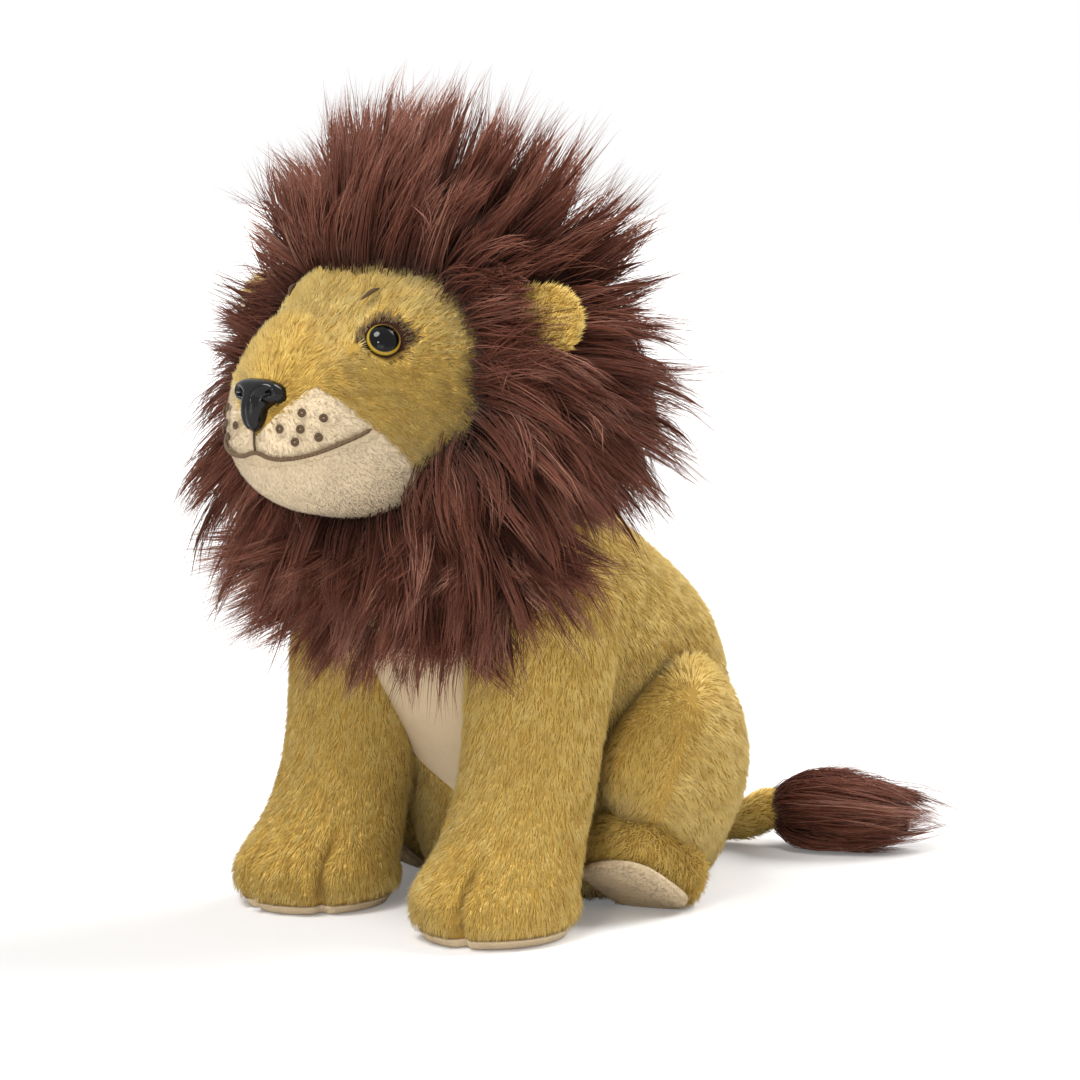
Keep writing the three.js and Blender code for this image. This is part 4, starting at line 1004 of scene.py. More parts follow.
pale_face = head_form(-CREAM_SINK)
PALE_PANELS = (  # name, level of its tone and test for its place
    ("muzzle", 0.45, lambda m: is_pale(m) & ~is_chin(m)),
    ("chin", 0.62, lambda m: is_pale(m) & is_chin(m)),
)
for name, level, test in PALE_PANELS:
    form = part_of(*pale_face, test)
    cover(f"{name}_cloth", form, CREAM_CLOTH, "head", (f"{name}_panel",), thick=1.2)
    kept = scatter(form, 5.6, 41, lambda p: before_hair(p, 3))
    blotch = 0.08 * mottle(kept[0], 5.5) + 0.06 * mottle(kept[0], 2.3)
    pile(f"{name}_pile", kept, kept[0] - np.array([0, -126, 150]), level + blotch, CREAM_PILE, CREAM, "head",
         "cream_plush", 42, lean=1.3, spread=0.4, clump=1.1, pull=0.2, width=0.13, loose=0.3)

place, out = scatter(gold_face, 5.2, 43, lambda p: before_hair(p, 1.5))
stem = np.where(place[:, 2] < 146.5, 2.4, 6.8)
clear = ~((np.abs(place[:, 0]) < stem) & (place[:, 1] < -118) & (place[:, 2] < 150.5))
for _, side in SIDES:
    clear &= np.linalg.norm(place - EYE_SPOT[side], axis=1) > EYE_RADIUS - 0.1
place, out = place[clear], out[clear]
nap = unit(place - np.array([0, -131, 146]))
cheek = np.clip((np.abs(place[:, 0]) - 12) / 8, 0, 1) * np.clip((163 - place[:, 2]) / 10, 0, 1)
nap = nap - 0.6 * cheek[:, None] * np.array([0, 0, 1.0])
for _, side in SIDES:
    away = place - EYE_SPOT[side]
    nap = nap + unit(away) * 1.6 * np.exp(-((np.linalg.norm(away, axis=1, keepdims=True) / 9) ** 2))
parted = from_line(left_side(place), BRIDGE_SEAM)
parted[:, 0] *= np.sign(place[:, 0])
apart = np.linalg.norm(parted, axis=1, keepdims=True)
nap = nap + 0.7 * unit(parted) * np.exp(-((apart / 3.5) ** 2))
crease = np.exp(-(apart[:, 0] ** 2))
bridge = np.clip((-106 - place[:, 1]) / 10, 0, 1)
# Along the bridge seam, on the cheeks and at the front of the bridge the pile takes a lower tone: painted
# shade in the crease and on the sides turned from the light.
tone = gold_tone(place, 44, 0.34) - 0.16 * crease - 0.15 * np.maximum(cheek, bridge)
patch, slit = eye_patch(place), brow_slit(place)
tone = np.where(slit > 0.55, 0.68, np.clip(tone - 0.2 * slit, 0.01, 0.6))
rough_edge = patch + np.random.default_rng(45).normal(0, 0.1, len(place)) > 0.5
tone = np.where(rough_edge, 0.7 + 0.1 * np.random.default_rng(46).random(len(place)), tone)
length = FACE_PILE * (1 - 0.5 * slit) * (1 - 0.35 * patch) * (1 - 0.25 * crease)
pile("head_pile", (place, out), nap, tone, length, GOLD, "head", "gold_plush", 47, lean=1.3, spread=0.28,
     clump=1.8, width=0.25)


# Eyes, nose and stitching

EYE_SHOWN = 4.7  # radius of the eye outside the pile that closes over its rim
EYE_AROUND = 64


def eye_form(side):
    """Toy eye: rings of a flattened dome from the rim to the crown, on a short straight edge, closed
    behind."""
    t = np.linspace(0, math.pi / 2 * 0.985, 30)
    radius = np.concatenate([[0.5], [EYE_SHOWN], [EYE_SHOWN], EYE_SHOWN * np.cos(t)])
    height = np.concatenate([[-1.5], [-1.5], [0], 0.6 + EYE_DOME * np.sin(t)])
    out = EYE_WAY[side]
    across = unit(np.cross(out, np.array([0, 0, 1.0])))
    up = np.cross(out, across)
    p = turns(EYE_AROUND)[:, None]
    base = EYE_SPOT[side] - EYE_SINK * out
    ring = np.cos(p) * across + np.sin(p) * up
    return loft(base + height[:, None, None] * out + radius[:, None, None] * ring), radius / EYE_SHOWN


def polar_chart(made, form, reach, around):
    """Map of rings: turn across and the given reach of each ring along, end points at the end rings'
    reach."""
    corners = corners_of(form[1])
    levels = len(reach)
    row = np.minimum(corners // around, levels - 1)
    ends = corners >= levels * around
    v = np.where(ends, np.where(corners == levels * around, reach[0], 0.0), reach[row])
    chart(made, (corners % around) / around, np.clip(v, 0, 1))


for label, side in SIDES:
    form, reach = eye_form(side)
    made = piece(f"eye_dome_{label}", form, EYE, "head", (f"eye_{label}",))
    polar_chart(made, form, reach, EYE_AROUND)


def curve(*corners, count=24):
    """Cubic curve of four corners: each corner's weight rises and falls in turn along it."""
    t = np.linspace(0, 1, count, endpoint=False)[:, None]
    a, b, c, d = (np.array(corner, float) for corner in corners)
    return a * (1 - t) ** 3 + 3 * b * t * (1 - t) ** 2 + 3 * c * t**2 * (1 - t) + d * t**3


def nose_form():
    """Moulded nose: its outline shrunk in rings to the middle, raised to a full cushion, with a comma-shaped
    nostril pressed in on each side and a groove down to the stem."""
    w, h = NOSE_WIDTH / 2, NOSE_HEIGHT / 2
    half = np.concatenate([
        curve((0, -h), (w * 0.34, -h), (w * 0.34, -h * 0.55), (w * 0.4, -h * 0.16)),
        curve((w * 0.4, -h * 0.16), (w * 0.47, h * 0.1), (w * 0.86, -h * 0.04), (w * 0.98, h * 0.32)),
        curve((w * 0.98, h * 0.32), (w * 1.1, h * 0.86), (w * 0.6, h * 1.02), (0, h)),
    ])
    outline = np.concatenate([half, [[0, h]], (half[1:] * [-1, 1])[::-1]])
    centre = np.array([0, h * 0.25])
    share = np.sin(np.linspace(math.pi / 2, 0.02, 46))
    flat = centre + (outline - centre) * share[:, None, None]
    x, y = flat[..., 0], flat[..., 1]
    rise = NOSE_THICKNESS * (1 - share[:, None] ** 3.4) ** 0.5 * (0.8 + 0.2 * np.clip((y + h) / h, 0, 1))
    side, level = np.abs(x) - w * 0.5, y - h * 0.28
    slant = side * 0.86 + level * 0.5
    cross = -side * 0.5 + level * 0.86 + 0.07 * slant**2
    nostril = np.exp(-((slant / (w * 0.28)) ** 4) - ((cross / (w * 0.13)) ** 2))
    groove = np.exp(-((x / 0.5) ** 2)) * np.clip((0 - y) / h, 0, 1)
    rise = rise - 2.4 * nostril - 0.6 * groove * (share[:, None] < 0.97)
    local = np.concatenate([np.stack([outline[:, 0], outline[:, 1], np.full(len(outline), -1.0)], -1)[None],
                            np.stack([x, y, rise], -1)])
    up = np.array([0, math.sin(NOSE_TILT), math.cos(NOSE_TILT)])
    out = np.array([0, -math.cos(NOSE_TILT), math.sin(NOSE_TILT)])
    base = face_spot(np.array([0.0]), np.array([NOSE_LEVEL]))[0] - NOSE_SINK * out
    return loft(base + local[..., :1] * np.array([1.0, 0, 0]) + local[..., 1:2] * up + local[..., 2:] * out)


piece("nose_pad", nose_form(), NOSE, "head", ("nose",))


THREAD_SIDES = 10


def thread(name, path, radius, stands_for=()):
    """Line of embroidery thread along a path, round and closed, with its map along and round it."""
    ends = np.where(np.arange(len(path)) % (len(path) - 1) == 0, 0.3, 1)
    form = loft(tube(path, ends * radius, THREAD_SIDES))
    made = piece(name, form, THREAD, "head", stands_for)
    corners = corners_of(form[1])
    row = np.minimum(corners // THREAD_SIDES, len(path) - 1)
    chart(made, row / len(path), (corners % THREAD_SIDES) / THREAD_SIDES)


for label, side in SIDES:
    t = np.linspace(0, 1, 15)[:, None]
    path = np.array([12.6, -101.3, 172.3]) * (1 - t) + np.array([14.8, -96.2, 175.2]) * t
    path = (path + np.array([0.5, -0.4, 0.8]) * (0.9 + 0.7 * np.sin(math.pi * t))) * [side, 1, 1]
    thread(f"brow_stitch_{label}", path, 0.2 + 0.4 * np.sin(math.pi * t[:, 0]))

t = np.linspace(-1, 1, 90)
mouth = face_spot(24.5 * t, 132.0 + 2.2 * t**2 + 6 * t**4 + 1.7 * np.exp(-((49 * t / 8) ** 2)))
mouth_out = unit(mouth - np.stack([0 * t, 0 * t - 104.5, mouth[:, 2] + 2], -1))
thread("mouth_line", mouth + 0.1 * mouth_out, 0.56, ("mouth_thread",))
drop = np.linspace(140.5, 134.2, 24)
middle = face_spot(0 * drop, drop)
thread("lip_line", middle + np.array([0, -0.05, 0]), 0.32)

WHISKERS = np.array([[8, 140.4], [13.4, 144.7], [18, 143.4], [13.4, 140.5], [17.2, 138.4], [12.1, 137.1]])
DOT_ROUND, DOT_BAR = 20, 8  # corners round a dot and round its bar


def whisker_form():
    """Rings of stitching for the whisker dots: a small round bar bent to a circle on the muzzle at each
    place."""
    spots = np.concatenate([WHISKERS, WHISKERS * [-1, 1]])
    centre = face_spot(spots[:, 0], spots[:, 1])
    out = unit(centre - np.stack([0 * centre[:, 0], 0 * centre[:, 0] - 104, 0 * centre[:, 0] + 138], -1))
    across = unit(np.cross(out, np.array([0, 0, 1.0])))
    up = np.cross(out, across)
    p, q = turns(DOT_ROUND), turns(DOT_BAR)
    reach = (0.72 + 0.46 * np.cos(q))[None, None, :, None]
    round_ = np.cos(p)[:, None] * across[:, None] + np.sin(p)[:, None] * up[:, None]
    points = (centre + 0.15 * out)[:, None, None] + reach * round_[:, :, None] + (
        0.34 * np.sin(q)[:, None] * out[:, None, None])
    row, column = np.arange(DOT_ROUND)[:, None] * DOT_BAR, np.arange(DOT_BAR)
    ahead, beside = (row + DOT_BAR) % (DOT_ROUND * DOT_BAR), (column + 1) % DOT_BAR
    quads = np.stack([row + column, ahead + column, ahead + beside, row + beside], -1).reshape(-1, 4)
    start = np.arange(len(spots))[:, None, None] * (DOT_ROUND * DOT_BAR)
    return points.reshape(-1, 3), [(start + quads).reshape(-1, 4)]


form = whisker_form()
dots = piece("whisker_dots", form, THREAD, "head")
corners = corners_of(form[1]) % (DOT_ROUND * DOT_BAR)
chart(dots, corners // DOT_BAR / DOT_ROUND, corners % DOT_BAR / DOT_BAR)

# Ears
for label, side in SIDES:
    body = f"ear_{label}"
    ear = ear_form(side)
    base, _, behind, out_way = ear_axes(side)
    # The lower hollow of each ear's front is tinted a quarter of the way to dark brown: painted shade in the
    # hollow.
    inner = ((ear[0] - base) @ behind < 0.6) & ((ear[0] - base) @ out_way < 15)
    halves = (f"ear_front_{label}", f"ear_back_{label}")
    cover(f"ear_cloth_{label}", ear, GOLD_CLOTH, body, halves, 0.25 * inner)
    place, out = scatter(ear, 4.2, 51)
    nap = out_way + 0.25 * unit(place - base)
    pile(f"ear_pile_{label}", (place, out), nap, gold_tone(place, 52, 0.36), FACE_PILE, GOLD, body,
         "gold_plush", 53, lean=1.25, clump=2.2, width=0.21)

# Tail
reach = np.concatenate([[-4.2, -3.2, -1.6], np.linspace(0, TUFT_START + 1, 40)])
path = tail_point(reach)
path[:3] = TAIL_ROOT + (reach[:3, None] * unit(TAIL_STEPS[1] - TAIL_STEPS[0]))
radius = np.concatenate([[0.6, 3.6, 5.2], np.full(40, 5.6)])
tail = loft(tube(path, radius, 48))
cover("tail_cloth", tail, GOLD_CLOTH, "tail", ("tail_cover", "tail_filling"))
place, out = scatter(tail, 3.8, 61, lambda p: in_torso(p, -3) > 1)
line = tail_point(np.linspace(0, TAIL_SPAN, 200))
near = np.argmin(np.linalg.norm(place[:, None] - line[None, ::4], axis=2), axis=1) * 4
nap = unit(np.gradient(line, axis=0))[near]
pile("tail_pile", (place, out), nap, gold_tone(place, 62), GOLD_PILE * 0.95, GOLD, "tail", "gold_plush", 63)


# Mane, ruff and tuft

MANE_STRANDS, RUFF_STRANDS, TUFT_STRANDS, RUFF_LOCKS = 25, 26, 24, 300
HAIR_REACH = 86.8  # how far any hair of the head goes out to the side
MANE_HUB = np.array([0, -66, 150.0])  # middle that the shade shell and the nape's locks are drawn towards


def pushed_out(points):
    """Points moved sideways out of the torso and the front legs where they lie inside."""
    for side in (1, -1):
        deep = in_leg(points, side, 2.0)
        centre = np.stack([np.full(points.shape[:-1], side * FRONT_LEG_SPREAD), -leg_forward(points[..., 2]),
                           points[..., 2]], -1)
        scale = np.where(deep < 1, 1 / np.sqrt(np.maximum(deep, 0.05)), 1)[..., None]
        points = centre + (points - centre) * scale
    low = points[..., 2] < TORSO_HEIGHT - 1
    deep = np.where(low, in_torso(points, 1.0), 9)
    forward = torso_section(np.clip(points[..., 2], 0, TORSO_HEIGHT))[2]
    centre = np.stack([0 * deep, -forward, points[..., 2]], -1)
    scale = np.where(deep < 1, 1 / np.sqrt(np.maximum(deep, 0.05)), 1)[..., None]
    return centre + (points - centre) * scale


def settled(paths):
    """Hair pushed out of the torso and the legs, and which of it stays: behind the chest, not what moved
    far."""
    moved = pushed_out(paths)
    far = np.linalg.norm(moved - paths, axis=-1).max(axis=-1) > 9
    return moved, ~far | (moved[:, -1, 1] < -50)


def lock_line(root, leave, tip, share):
    """Middle line of locks: from the root, first the way each leaves, round to the tip."""
    bend = root + leave * np.linalg.norm(tip - root, axis=1, keepdims=True)
    a, b, c = (v.reshape(len(root), *(1,) * (share.ndim - 2), 3) for v in (root, bend, tip))
    return a * (1 - share) ** 2 + 2 * b * share * (1 - share) + c * share**2


def lock_paths(root, leave, tip, count, spread, seed, loose=1.0):
    """Strands of pointed locks: they start apart round the lock's middle line, close up towards the tip in
    four wisps, wave a little and end at different lengths."""
    rng = np.random.default_rng(seed)
    locks = len(root)
    end = rng.uniform(0.72, 1.03, (locks, count, 1, 1))
    s = STEPS[None, None, :, None] * end
    path = lock_line(root, leave, tip, s)
    way = unit(tip - root)
    across = unit(np.cross(way, unit(rng.normal(size=(locks, 3)))))
    other = np.cross(way, across)
    turn = rng.uniform(0, 2 * math.pi, (locks, count, 1, 1))
    reach = spread * np.sqrt(rng.uniform(0.2, 1, (locks, count, 1, 1))) * (1 - 0.84 * s**1.4)
    path = path + reach * (np.cos(turn) * across[:, None, None] + np.sin(turn) * other[:, None, None])
    phase = rng.uniform(0, 2 * math.pi, (locks, 1, 1, 1)) + rng.normal(0, 0.3, (locks, count, 1, 1))
    wave = rng.uniform(0.4, 2.4, (locks, 1, 1, 1)) * s * np.sin(4.5 * s + phase)
    stray = loose * rng.normal(0, 0.6, (locks, count, 1, 3)) * s**2
    wisp = loose * rng.normal(0, 1.9, (locks, 4, 1, 3))[:, np.arange(count) % 4] * s**2
    return path + wave * across[:, None, None] + stray + wisp


CORE_STEPS = np.array([0.0, 0.2, 0.4, 0.58, 0.72, 0.82])
CORE_ROUND = np.array([0.75, 1, 0.9, 0.62, 0.3, 0.03])
CORE_SIDES = 6


def cores(name, lines, thick, tone, body, seed):
    """Dense middles of locks: six-sided bars along their lines, full near the root and pointed at the tip,
    with a tone of its own on every edge."""
    rng = np.random.default_rng(seed)
    count, levels = lines.shape[:2]
    ahead = unit(np.gradient(lines, axis=1))
    across = unit(np.cross(ahead, unit(rng.normal(size=(count, 1, 3)))))
    up = np.cross(ahead, across)
    turn = np.arange(CORE_SIDES)[:, None] * 2 * math.pi / CORE_SIDES
    reach = (thick * CORE_ROUND)[:, None, None] * rng.uniform(0.8, 1.25, (count, levels, CORE_SIDES, 1))
    points = lines[:, :, None] + reach * (np.cos(turn) * across[:, :, None] + np.sin(turn) * up[:, :, None])
    k = np.arange(CORE_SIDES)
    quads = ring_quads(levels, CORE_SIDES)
    ends = np.array([k[::-1], k + (levels - 1) * CORE_SIDES])
    start = np.arange(count)[:, None, None] * levels * CORE_SIDES
    form = points.reshape(-1, 3), [(start + quads).reshape(-1, 4), (start + ends).reshape(-1, CORE_SIDES)]
    made = piece(name, form, MANE, body)
    edge = np.clip(tone[:, None] + rng.normal(0, 0.09, (count, CORE_SIDES)), 0.02, 0.96)
    corners = corners_of(form[1])
    lock, point = corners // (levels * CORE_SIDES), corners % (levels * CORE_SIDES)
    chart(made, edge[lock, point % CORE_SIDES] + 0.003 * (point % 2), CORE_STEPS[point // CORE_SIDES] * 0.9)


def mane_tips(count, seed):
    """Turns spread evenly over the outside of the mane: cells of a fine grid drawn by their area."""
    rng = np.random.default_rng(seed)
    t, p = np.meshgrid(np.linspace(0.01, 0.99, 90), turns(180), indexing="ij")
    grid = mane_point(t, p)
    area = np.linalg.norm(np.cross(np.gradient(grid, axis=0), np.gradient(grid, axis=1)), axis=-1).ravel()
    pick = rng.choice(area.size, count, p=area / area.sum())
    back = t.ravel()[pick] + rng.uniform(-0.006, 0.006, count)
    return back, p.ravel()[pick] + rng.uniform(-0.02, 0.02, count)


def mane_locks(count, seed):
    """Roots, leaving directions and tips of the locks on the head: tips spread over the outside of the mane
    and, fewer, under it; each root on the head further forward and higher than its tip, never before the
    hairline."""
    rng = np.random.default_rng(seed)
    t, p = mane_tips(count, seed)
    hub = np.array([0, -72, 149.0])
    size = np.where(rng.random(count) < 0.55, rng.uniform(1.0, 1.17, count), rng.uniform(0.86, 1.0, count))
    flare = np.exp(-(((np.sin(p) + 0.25) / 0.4) ** 2)) * np.clip(1.2 - 2 * t, 0, 1)
    tip = hub + (mane_point(t, p) - hub) * (size * (1 + 0.1 * flare))[:, None]
    tip[:, 0] = np.clip(tip[:, 0], -80.5, 80.5)
    tip[:, 2] -= 22 * np.clip((t - 0.74) / 0.16, 0, 1) * np.clip((tip[:, 2] - 112) / 20, 0, 1)
    behind = (tip[:, 1] > -56) & (tip[:, 2] < 112)
    tip[:, 2] = np.where(behind, 111 + 0.4 * (tip[:, 2] - 112), tip[:, 2])
    tip[:, 1] += 10 * np.exp(-(((t - 0.5) / 0.25) ** 2)) * np.clip((160 - tip[:, 2]) / 20, 0, 1)
    angle = p + 0.22 * np.cos(p) * (1 - 0.4 * np.sin(p)) + rng.normal(0, 0.05, count)
    start = hairline(np.degrees(np.arcsin(np.sin(angle))))
    run = np.where(rng.random(count) < 0.6, 30 + 50 * np.clip(np.sin(p), 0, 1), 84)
    back = np.clip(start + 1.5 + 7 * rng.random(count) + run * np.maximum(t - 0.08, 0), 0, 90)
    root = head_point(back, angle, -2)
    middle = np.stack([0 * back, root[:, 1], 0 * back + 149], -1)
    out = head_out(back, angle)
    out = out * np.sign(dot(out, root - middle))
    kept = ((tip[:, 2] > 112) | (in_torso(tip, 0) > 1)) & ((tip[:, 2] > 98) | (rng.random(count) < 0.5))
    leave = (0.46 + rng.normal(0, 0.07, (count, 1))) * out + 0.14 * unit(tip - root)
    return root[kept], leave[kept], tip[kept]


def edge_locks(seed):
    """Locks where the face meets the mane: some before each ear that pass it outward, and more under the
    jaw that hang down from the hairline."""
    rng = np.random.default_rng(seed)
    ears, jaw = 72, 150
    side = np.where(np.arange(ears) % 2 == 0, 1, -1)
    turn = rng.uniform(0.0, 0.75, ears)
    back = hairline(np.degrees(turn)) + rng.uniform(1.5, 7, ears)
    root = head_point(back, np.where(side > 0, turn, math.pi - turn), -2)
    reach = [rng.uniform(low, high, ears) for low, high in ((19, 30), (-6, 1), (-9, 13))]
    tip = root + np.stack([side * reach[0], reach[1], reach[2]], -1)
    leave = np.stack([0.3 * side, np.full(ears, -0.16), np.full(ears, 0.06)], -1)
    turn = rng.uniform(-2.85, -0.29, jaw)
    depth = np.where(np.arange(jaw) < 100, 16, 40) * rng.uniform(0.03, 1, jaw)
    back = hairline(np.degrees(np.arcsin(np.sin(turn)))) + depth
    under = head_point(back, turn, -2)
    hang = under * [1.3, 1, 1] + np.stack(
        [rng.normal(0, 4, jaw), rng.uniform(-14, 2, jaw), -rng.uniform(14, 34, jaw)], -1)
    drop = np.array([0, -0.25, -0.25]) + 0.2 * unit(hang - under)
    return np.concatenate([root, under]), np.concatenate([leave, drop]), np.concatenate([tip, hang])


def nape_locks(count, seed):
    """Locks that cover the rear end of the mane: rooted on its dark shade shell and hanging down over it."""
    rng = np.random.default_rng(seed)
    turn, level = rng.uniform(-0.3, 3.44, count), rng.uniform(0.55, 0.98, count)
    root = MANE_HUB + (mane_point(level, turn) - MANE_HUB) * 0.69
    out = unit(root - MANE_HUB)
    fall = np.stack([rng.normal(0, 5, count), rng.uniform(0, 6, count), -rng.uniform(24, 40, count)], -1)
    return root, 0.4 * out + np.array([0, 0, 0.1]), np.maximum(root + 13 * out + fall, [-80, -80, 112])


def round_ear(paths):
    """Hair kept out of the room where an ear folds: what crosses the ear's lower part is brought before it,
    and strands that still reach into the room are named for leaving out."""
    clear = np.ones(paths.shape[:-2], bool)
    for _, side in SIDES:
        base, across, behind, out = ear_axes(side)
        q = paths - base
        x, y, z = q @ across, q @ behind, q @ out
        front = -3.0 - 0.2 * np.maximum(z, 0)
        inside = (np.abs(x) < 13) & (z > -2) & (z < 23) & (y > front) & (y < 4 + 0.2 * np.maximum(z, 0))
        drape = inside & (x > -3) & (z < 15)
        paths = paths + np.where(drape, front - 0.3 - y, 0)[..., None] * behind
        clear &= ~(inside & ~drape).any(axis=-1)
    return paths, clear


def lock_tones(locks, count, seed, level=0.4):
    """Tones of the strands of locks: one level per lock and a little chance per strand."""
    rng = np.random.default_rng(seed)
    lock = rng.normal(level, 0.17, (locks, 1))
    return lock[:, 0], np.clip(lock + rng.normal(0, 0.1, (locks, count)), 0.02, 0.98)


def middles(locks):
    """Places a little past halfway along locks."""
    return lock_line(*locks, np.array([[[0.6]]]))[:, 0]


drawn = [np.concatenate(rows) for rows in zip(mane_locks(905, 71), edge_locks(70), nape_locks(54, 77))]
spare = mane_locks(600, 76)
spare = [rows[(spare[2][:, 1] > -66) & (spare[2][:, 2] > 106)] for rows in spare]
apart = np.linalg.norm(middles(spare)[:, None] - middles(drawn)[None], axis=-1)
thin = np.argsort(np.exp(-((apart / 9) ** 2)).sum(axis=1))[:60]
root, leave, tip = (np.concatenate([a, b[thin]]) for a, b in zip(drawn, spare))
core_tone, tone = lock_tones(len(root), MANE_STRANDS, 73)
lines, kept = round_ear(lock_line(root, leave, tip, CORE_STEPS[None, :, None]))
lines, core_tone = lines[kept], core_tone[kept]
lines, kept = settled(lines)
# The cores take a tone below their strands': painted shade inside the locks.
cores("mane_cores", lines[kept], 1.1, core_tone[kept] - 0.2, "head", 74)
paths, kept = round_ear(lock_paths(root, leave, tip, MANE_STRANDS, 4.8, 72))
paths, tone = paths[kept], tone[kept]
paths, kept = settled(paths)
paths, tone = paths[kept], tone[kept]
paths[..., 0] = np.clip(paths[..., 0], -HAIR_REACH, HAIR_REACH)
order = np.argsort(paths[:, 0, 1] + 1e-6 * np.arange(len(paths)))
for n, rows in enumerate(np.array_split(order, 6)):
    made = hair(f"mane_hair_{n + 1}", paths[rows], tone[rows], "head", 75 + n)
    if n == 0:
        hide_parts("mane_pelt")

# A dark brown shell inside the mane at 0.72 of its size: the mane's brown darkened into painted shade deep in
# the hair.
shell_t, shell_p = np.linspace(0.04, 0.985, 40)[:, None], turns(90)[None]
shell = MANE_HUB + (mane_point(shell_t, shell_p) - MANE_HUB) * 0.72
shell = loft(on_floor(shell, HEAD_BASE + 0.3))
cover("mane_shade_shell", shell, BROWN_SHADE_CLOTH, "head")

rng = np.random.default_rng(81)
p, t = np.radians(rng.uniform(-158, -22, RUFF_LOCKS)), rng.uniform(0.02, 0.5, RUFF_LOCKS)
hub = np.array([0, -66, 120.0])
wide, ahead = rng.uniform(0.95, 1.3, RUFF_LOCKS), rng.uniform(0.9, 1.2, RUFF_LOCKS)
hang = np.where(
    rng.random(RUFF_LOCKS) < 0.72, rng.uniform(0.8, 1.1, RUFF_LOCKS), rng.uniform(1.1, 1.36, RUFF_LOCKS))
tip = hub + (mane_point(t, p) - hub) * np.stack([wide, ahead, hang], -1)
tip[:, 0] = np.clip(tip[:, 0], -80, 80)
tip = tip[(tip[:, 2] < 104) & (tip[:, 1] < -50)]
rng = np.random.default_rng(82)
lift = np.minimum(tip[:, 2] + rng.uniform(16, 36, len(tip)), 110.5)
root = torso_front(np.clip(0.62 * tip[:, 0], -30, 30), lift, -2)
leave = np.array([0, -0.35, -0.1]) + 0.2 * unit(tip - root)
# The ruff's locks take a lighter tone than the mane's: painted light under the chin.
core_tone, tone = lock_tones(len(tip), RUFF_STRANDS, 85, 0.56)
lines = pushed_out(lock_line(root, leave, tip, CORE_STEPS[None, :, None]))
# The cores take a tone below their strands': painted shade inside the locks.
cores("ruff_cores", on_floor(lines, 60), 1.1, core_tone - 0.2, "torso", 86)
paths = pushed_out(lock_paths(root, leave, tip, RUFF_STRANDS, 5.0, 83)).reshape(-1, len(STEPS), 3)
paths[..., 0] = np.clip(paths[..., 0], -HAIR_REACH, HAIR_REACH)
ruff = hair("ruff_hair", on_floor(paths, 60), tone.ravel(), "torso", 84)
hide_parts("mane_ruff")


def tuft_locks(count, seed):
    """Roots, leaving directions and tips of the tuft's locks: roots round the end of the tail, tips further
    along and as far from its middle line as the tuft is thick there."""
    rng = np.random.default_rng(seed)
    start = TUFT_START + 20 * rng.random(count) ** 1.4
    finish = np.minimum(start + rng.uniform(20, 50, count), TAIL_SPAN + rng.uniform(-8, 9, count))
    turn, share = rng.uniform(0, 2 * math.pi, (count, 1)), np.sqrt(rng.uniform(0.15, 1.1, (count, 1)))
    ahead = unit(tail_point(start + 0.5) - tail_point(start - 0.5))
    across = unit(np.cross(np.array([0, 0, 1.0]), ahead))
    round_ = np.cos(turn) * across + np.sin(turn) * np.cross(ahead, across)
    thick = np.maximum(tuft_radius((finish - TUFT_START) / (TAIL_SPAN - TUFT_START)), 2.0)[:, None]
    root = tail_point(start) + 4.5 * round_
    past = np.maximum(finish - TAIL_SPAN, 0)[:, None] * unit(TAIL_STEPS[-1] - TAIL_STEPS[-2])
    tip = tail_point(finish) + past + share * thick * round_
    return root, 0.34 * round_ + 0.2 * ahead, tip


root, leave, tip = tuft_locks(115, 91)
core_tone, tone = lock_tones(len(root), TUFT_STRANDS, 92, 0.5)
lines = lock_line(root, leave, tip, CORE_STEPS[None, :, None])
# The cores take a tone below their strands': painted shade inside the locks.
cores("tuft_cores", on_floor(lines, 1.5), 1.2, core_tone - 0.14, "tail", 93)
paths = on_floor(lock_paths(root, leave, tip, TUFT_STRANDS, 3.4, 94, 1.5).reshape(-1, len(STEPS), 3), 0.4)
tuft = hair("tuft_hair", paths, tone.ravel(), "tail", 95)
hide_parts("tail_tuft")
# A dark brown core inside the tuft: painted shade deep in the tuft's hair.
reach = np.linspace(TUFT_START - 1, TAIL_SPAN - 8, 40)
core = loft(on_floor(tube(
    tail_point(reach), 0.62 * tuft_radius((reach - TUFT_START) / (TAIL_SPAN - TUFT_START)), 40), 0.5))
cover("tuft_shade_shell", core, BROWN_SHADE_CLOTH, "tail")

# Hidden washers keep their CAD form
for name in ("nose_washer", "eye_washer_left", "eye_washer_right"):
    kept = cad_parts[name]
    kept.data.materials.clear()
    kept.data.materials.append(WASHER)

# Camera, light and floor

BACK = np.array([0.638, -0.760, 0.122])
RIGHT = np.array([0.766, 0.643, 0.0])
TARGET = np.array([-0.0038, -0.0082, 0.0991])


def aimed(name, data, place, target):
    """Puts a camera or lamp at a place, looking at a target with its top up."""
    made = bpy.data.objects.new(name, data)
    bpy.context.scene.collection.objects.link(made)
    away = unit(np.array(place, float) - np.array(target, float))
    right = unit(np.cross(np.array([0, 0, 1.0]), away))
    up = np.cross(away, right)
    rows = np.column_stack([right, up, away, np.array(place, float)]).tolist()
    made.matrix_world = Matrix([*rows, [0, 0, 0, 1]])
    return made


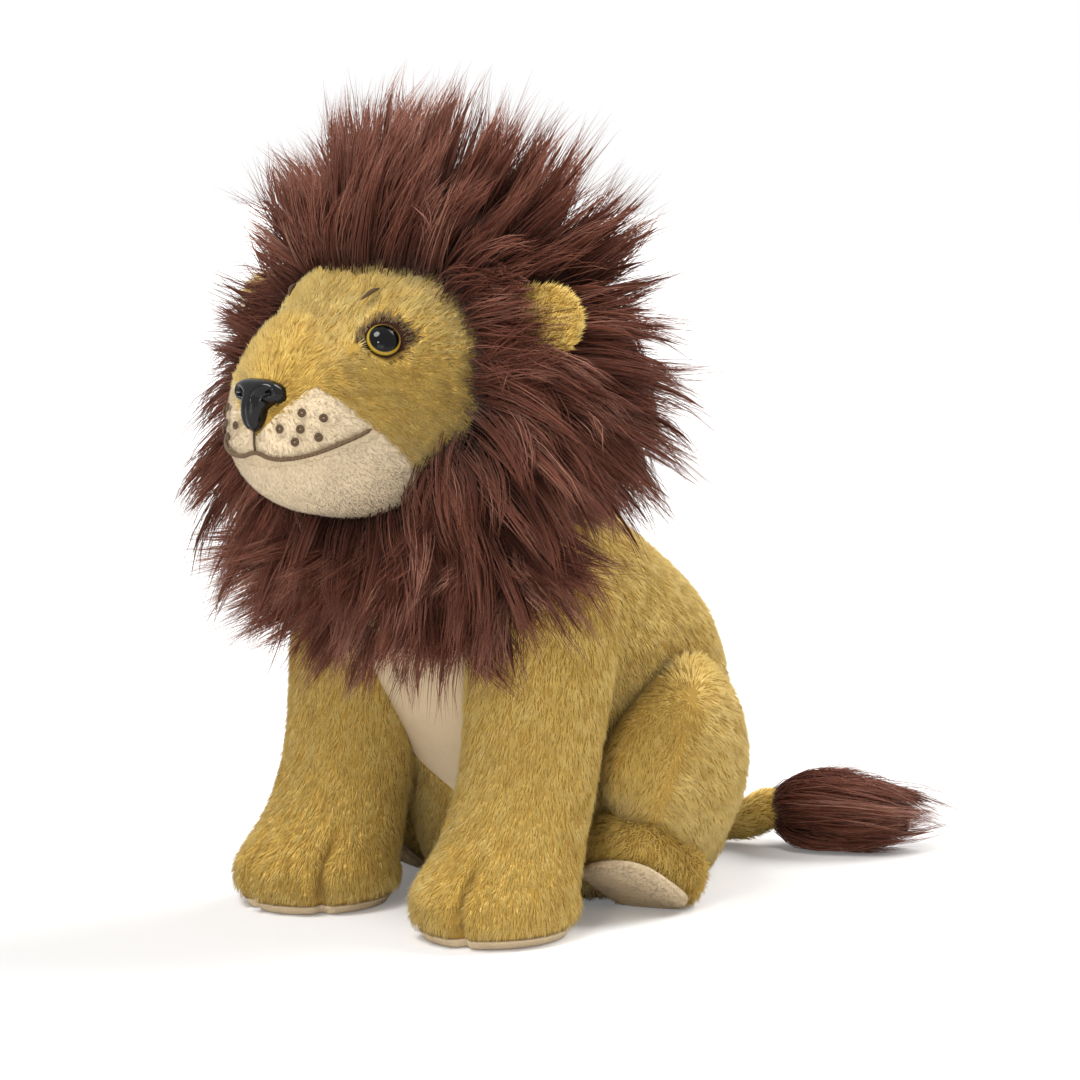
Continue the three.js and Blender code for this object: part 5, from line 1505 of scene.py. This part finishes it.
camera = bpy.data.cameras.new("camera")
camera.lens, camera.sensor_width = 127.6, 36
bpy.context.scene.camera = aimed("camera", camera, (TARGET + 1.1 * BACK).tolist(), TARGET)


def lamp(name, kind, energy, way, distance, **settings):
    """Puts a lamp at a distance from the target, its way given as shares of back, right and up."""
    made = bpy.data.lights.new(name, kind)
    made.energy = energy
    for key, value in settings.items():
        setattr(made, key, value)
    back, right, up = way
    aimed(name, made, TARGET + distance * unit(back * BACK + right * RIGHT + np.array([0, 0, up])), TARGET)


lamp("key", "SUN", 3.0, (0.4, -0.35, 0.9), 2, angle=math.radians(26))
lamp("rim", "SUN", 3.5, (-0.35, 0.6, 0.75), 2, angle=math.radians(40))
lamp("fill", "AREA", 1.4, (0.9, -0.1, -0.16), 0.9, size=0.5)
lamp("glint", "AREA", 1.2, (0.9, -0.25, 0.3), 1.0, shape="DISK", size=0.1)


def seen(sheet_):
    """1 where the camera looks, straight or by a gloss or through glass, and 0 for all other light."""
    rays = sum(sheet_.make("ShaderNodeLightPath", output=n) for n in (0, 3, 6))
    return sheet_.make("ShaderNodeMath", {"operation": "MINIMUM"}, {0: rays, 1: 1.0})


world = bpy.data.worlds.new("studio")
bpy.context.scene.world = world
sky = Sheet(world)
light = sky.make("ShaderNodeBackground", inputs={"Color": (1, 1, 1, 1), "Strength": 0.36 + 0.64 * seen(sky)})
sky.make("ShaderNodeOutputWorld", inputs={"Surface": light})

ground = new_sheet("floor")
lit = ground.make("ShaderNodeBsdfDiffuse", inputs={"Color": (0.66, 0.65, 0.64, 1)})
glow = ground.make("ShaderNodeEmission", inputs={"Color": (1, 1, 1, 1), "Strength": 0.14 * seen(ground)})
both = ground.make("ShaderNodeAddShader", inputs={0: lit, 1: glow})
ground.make("ShaderNodeOutputMaterial", inputs={"Surface": both})
mesh = bpy.data.meshes.new("floor")
mesh.from_pydata([(-4, -4, 0), (4, -4, 0), (4, 4, 0), (-4, 4, 0)], [], [(0, 1, 2, 3)])
mesh.materials.append(ground.owner)
floor = bpy.data.objects.new("floor", mesh)
bpy.context.scene.collection.objects.link(floor)

bpy.context.scene.view_settings.view_transform = "Standard"
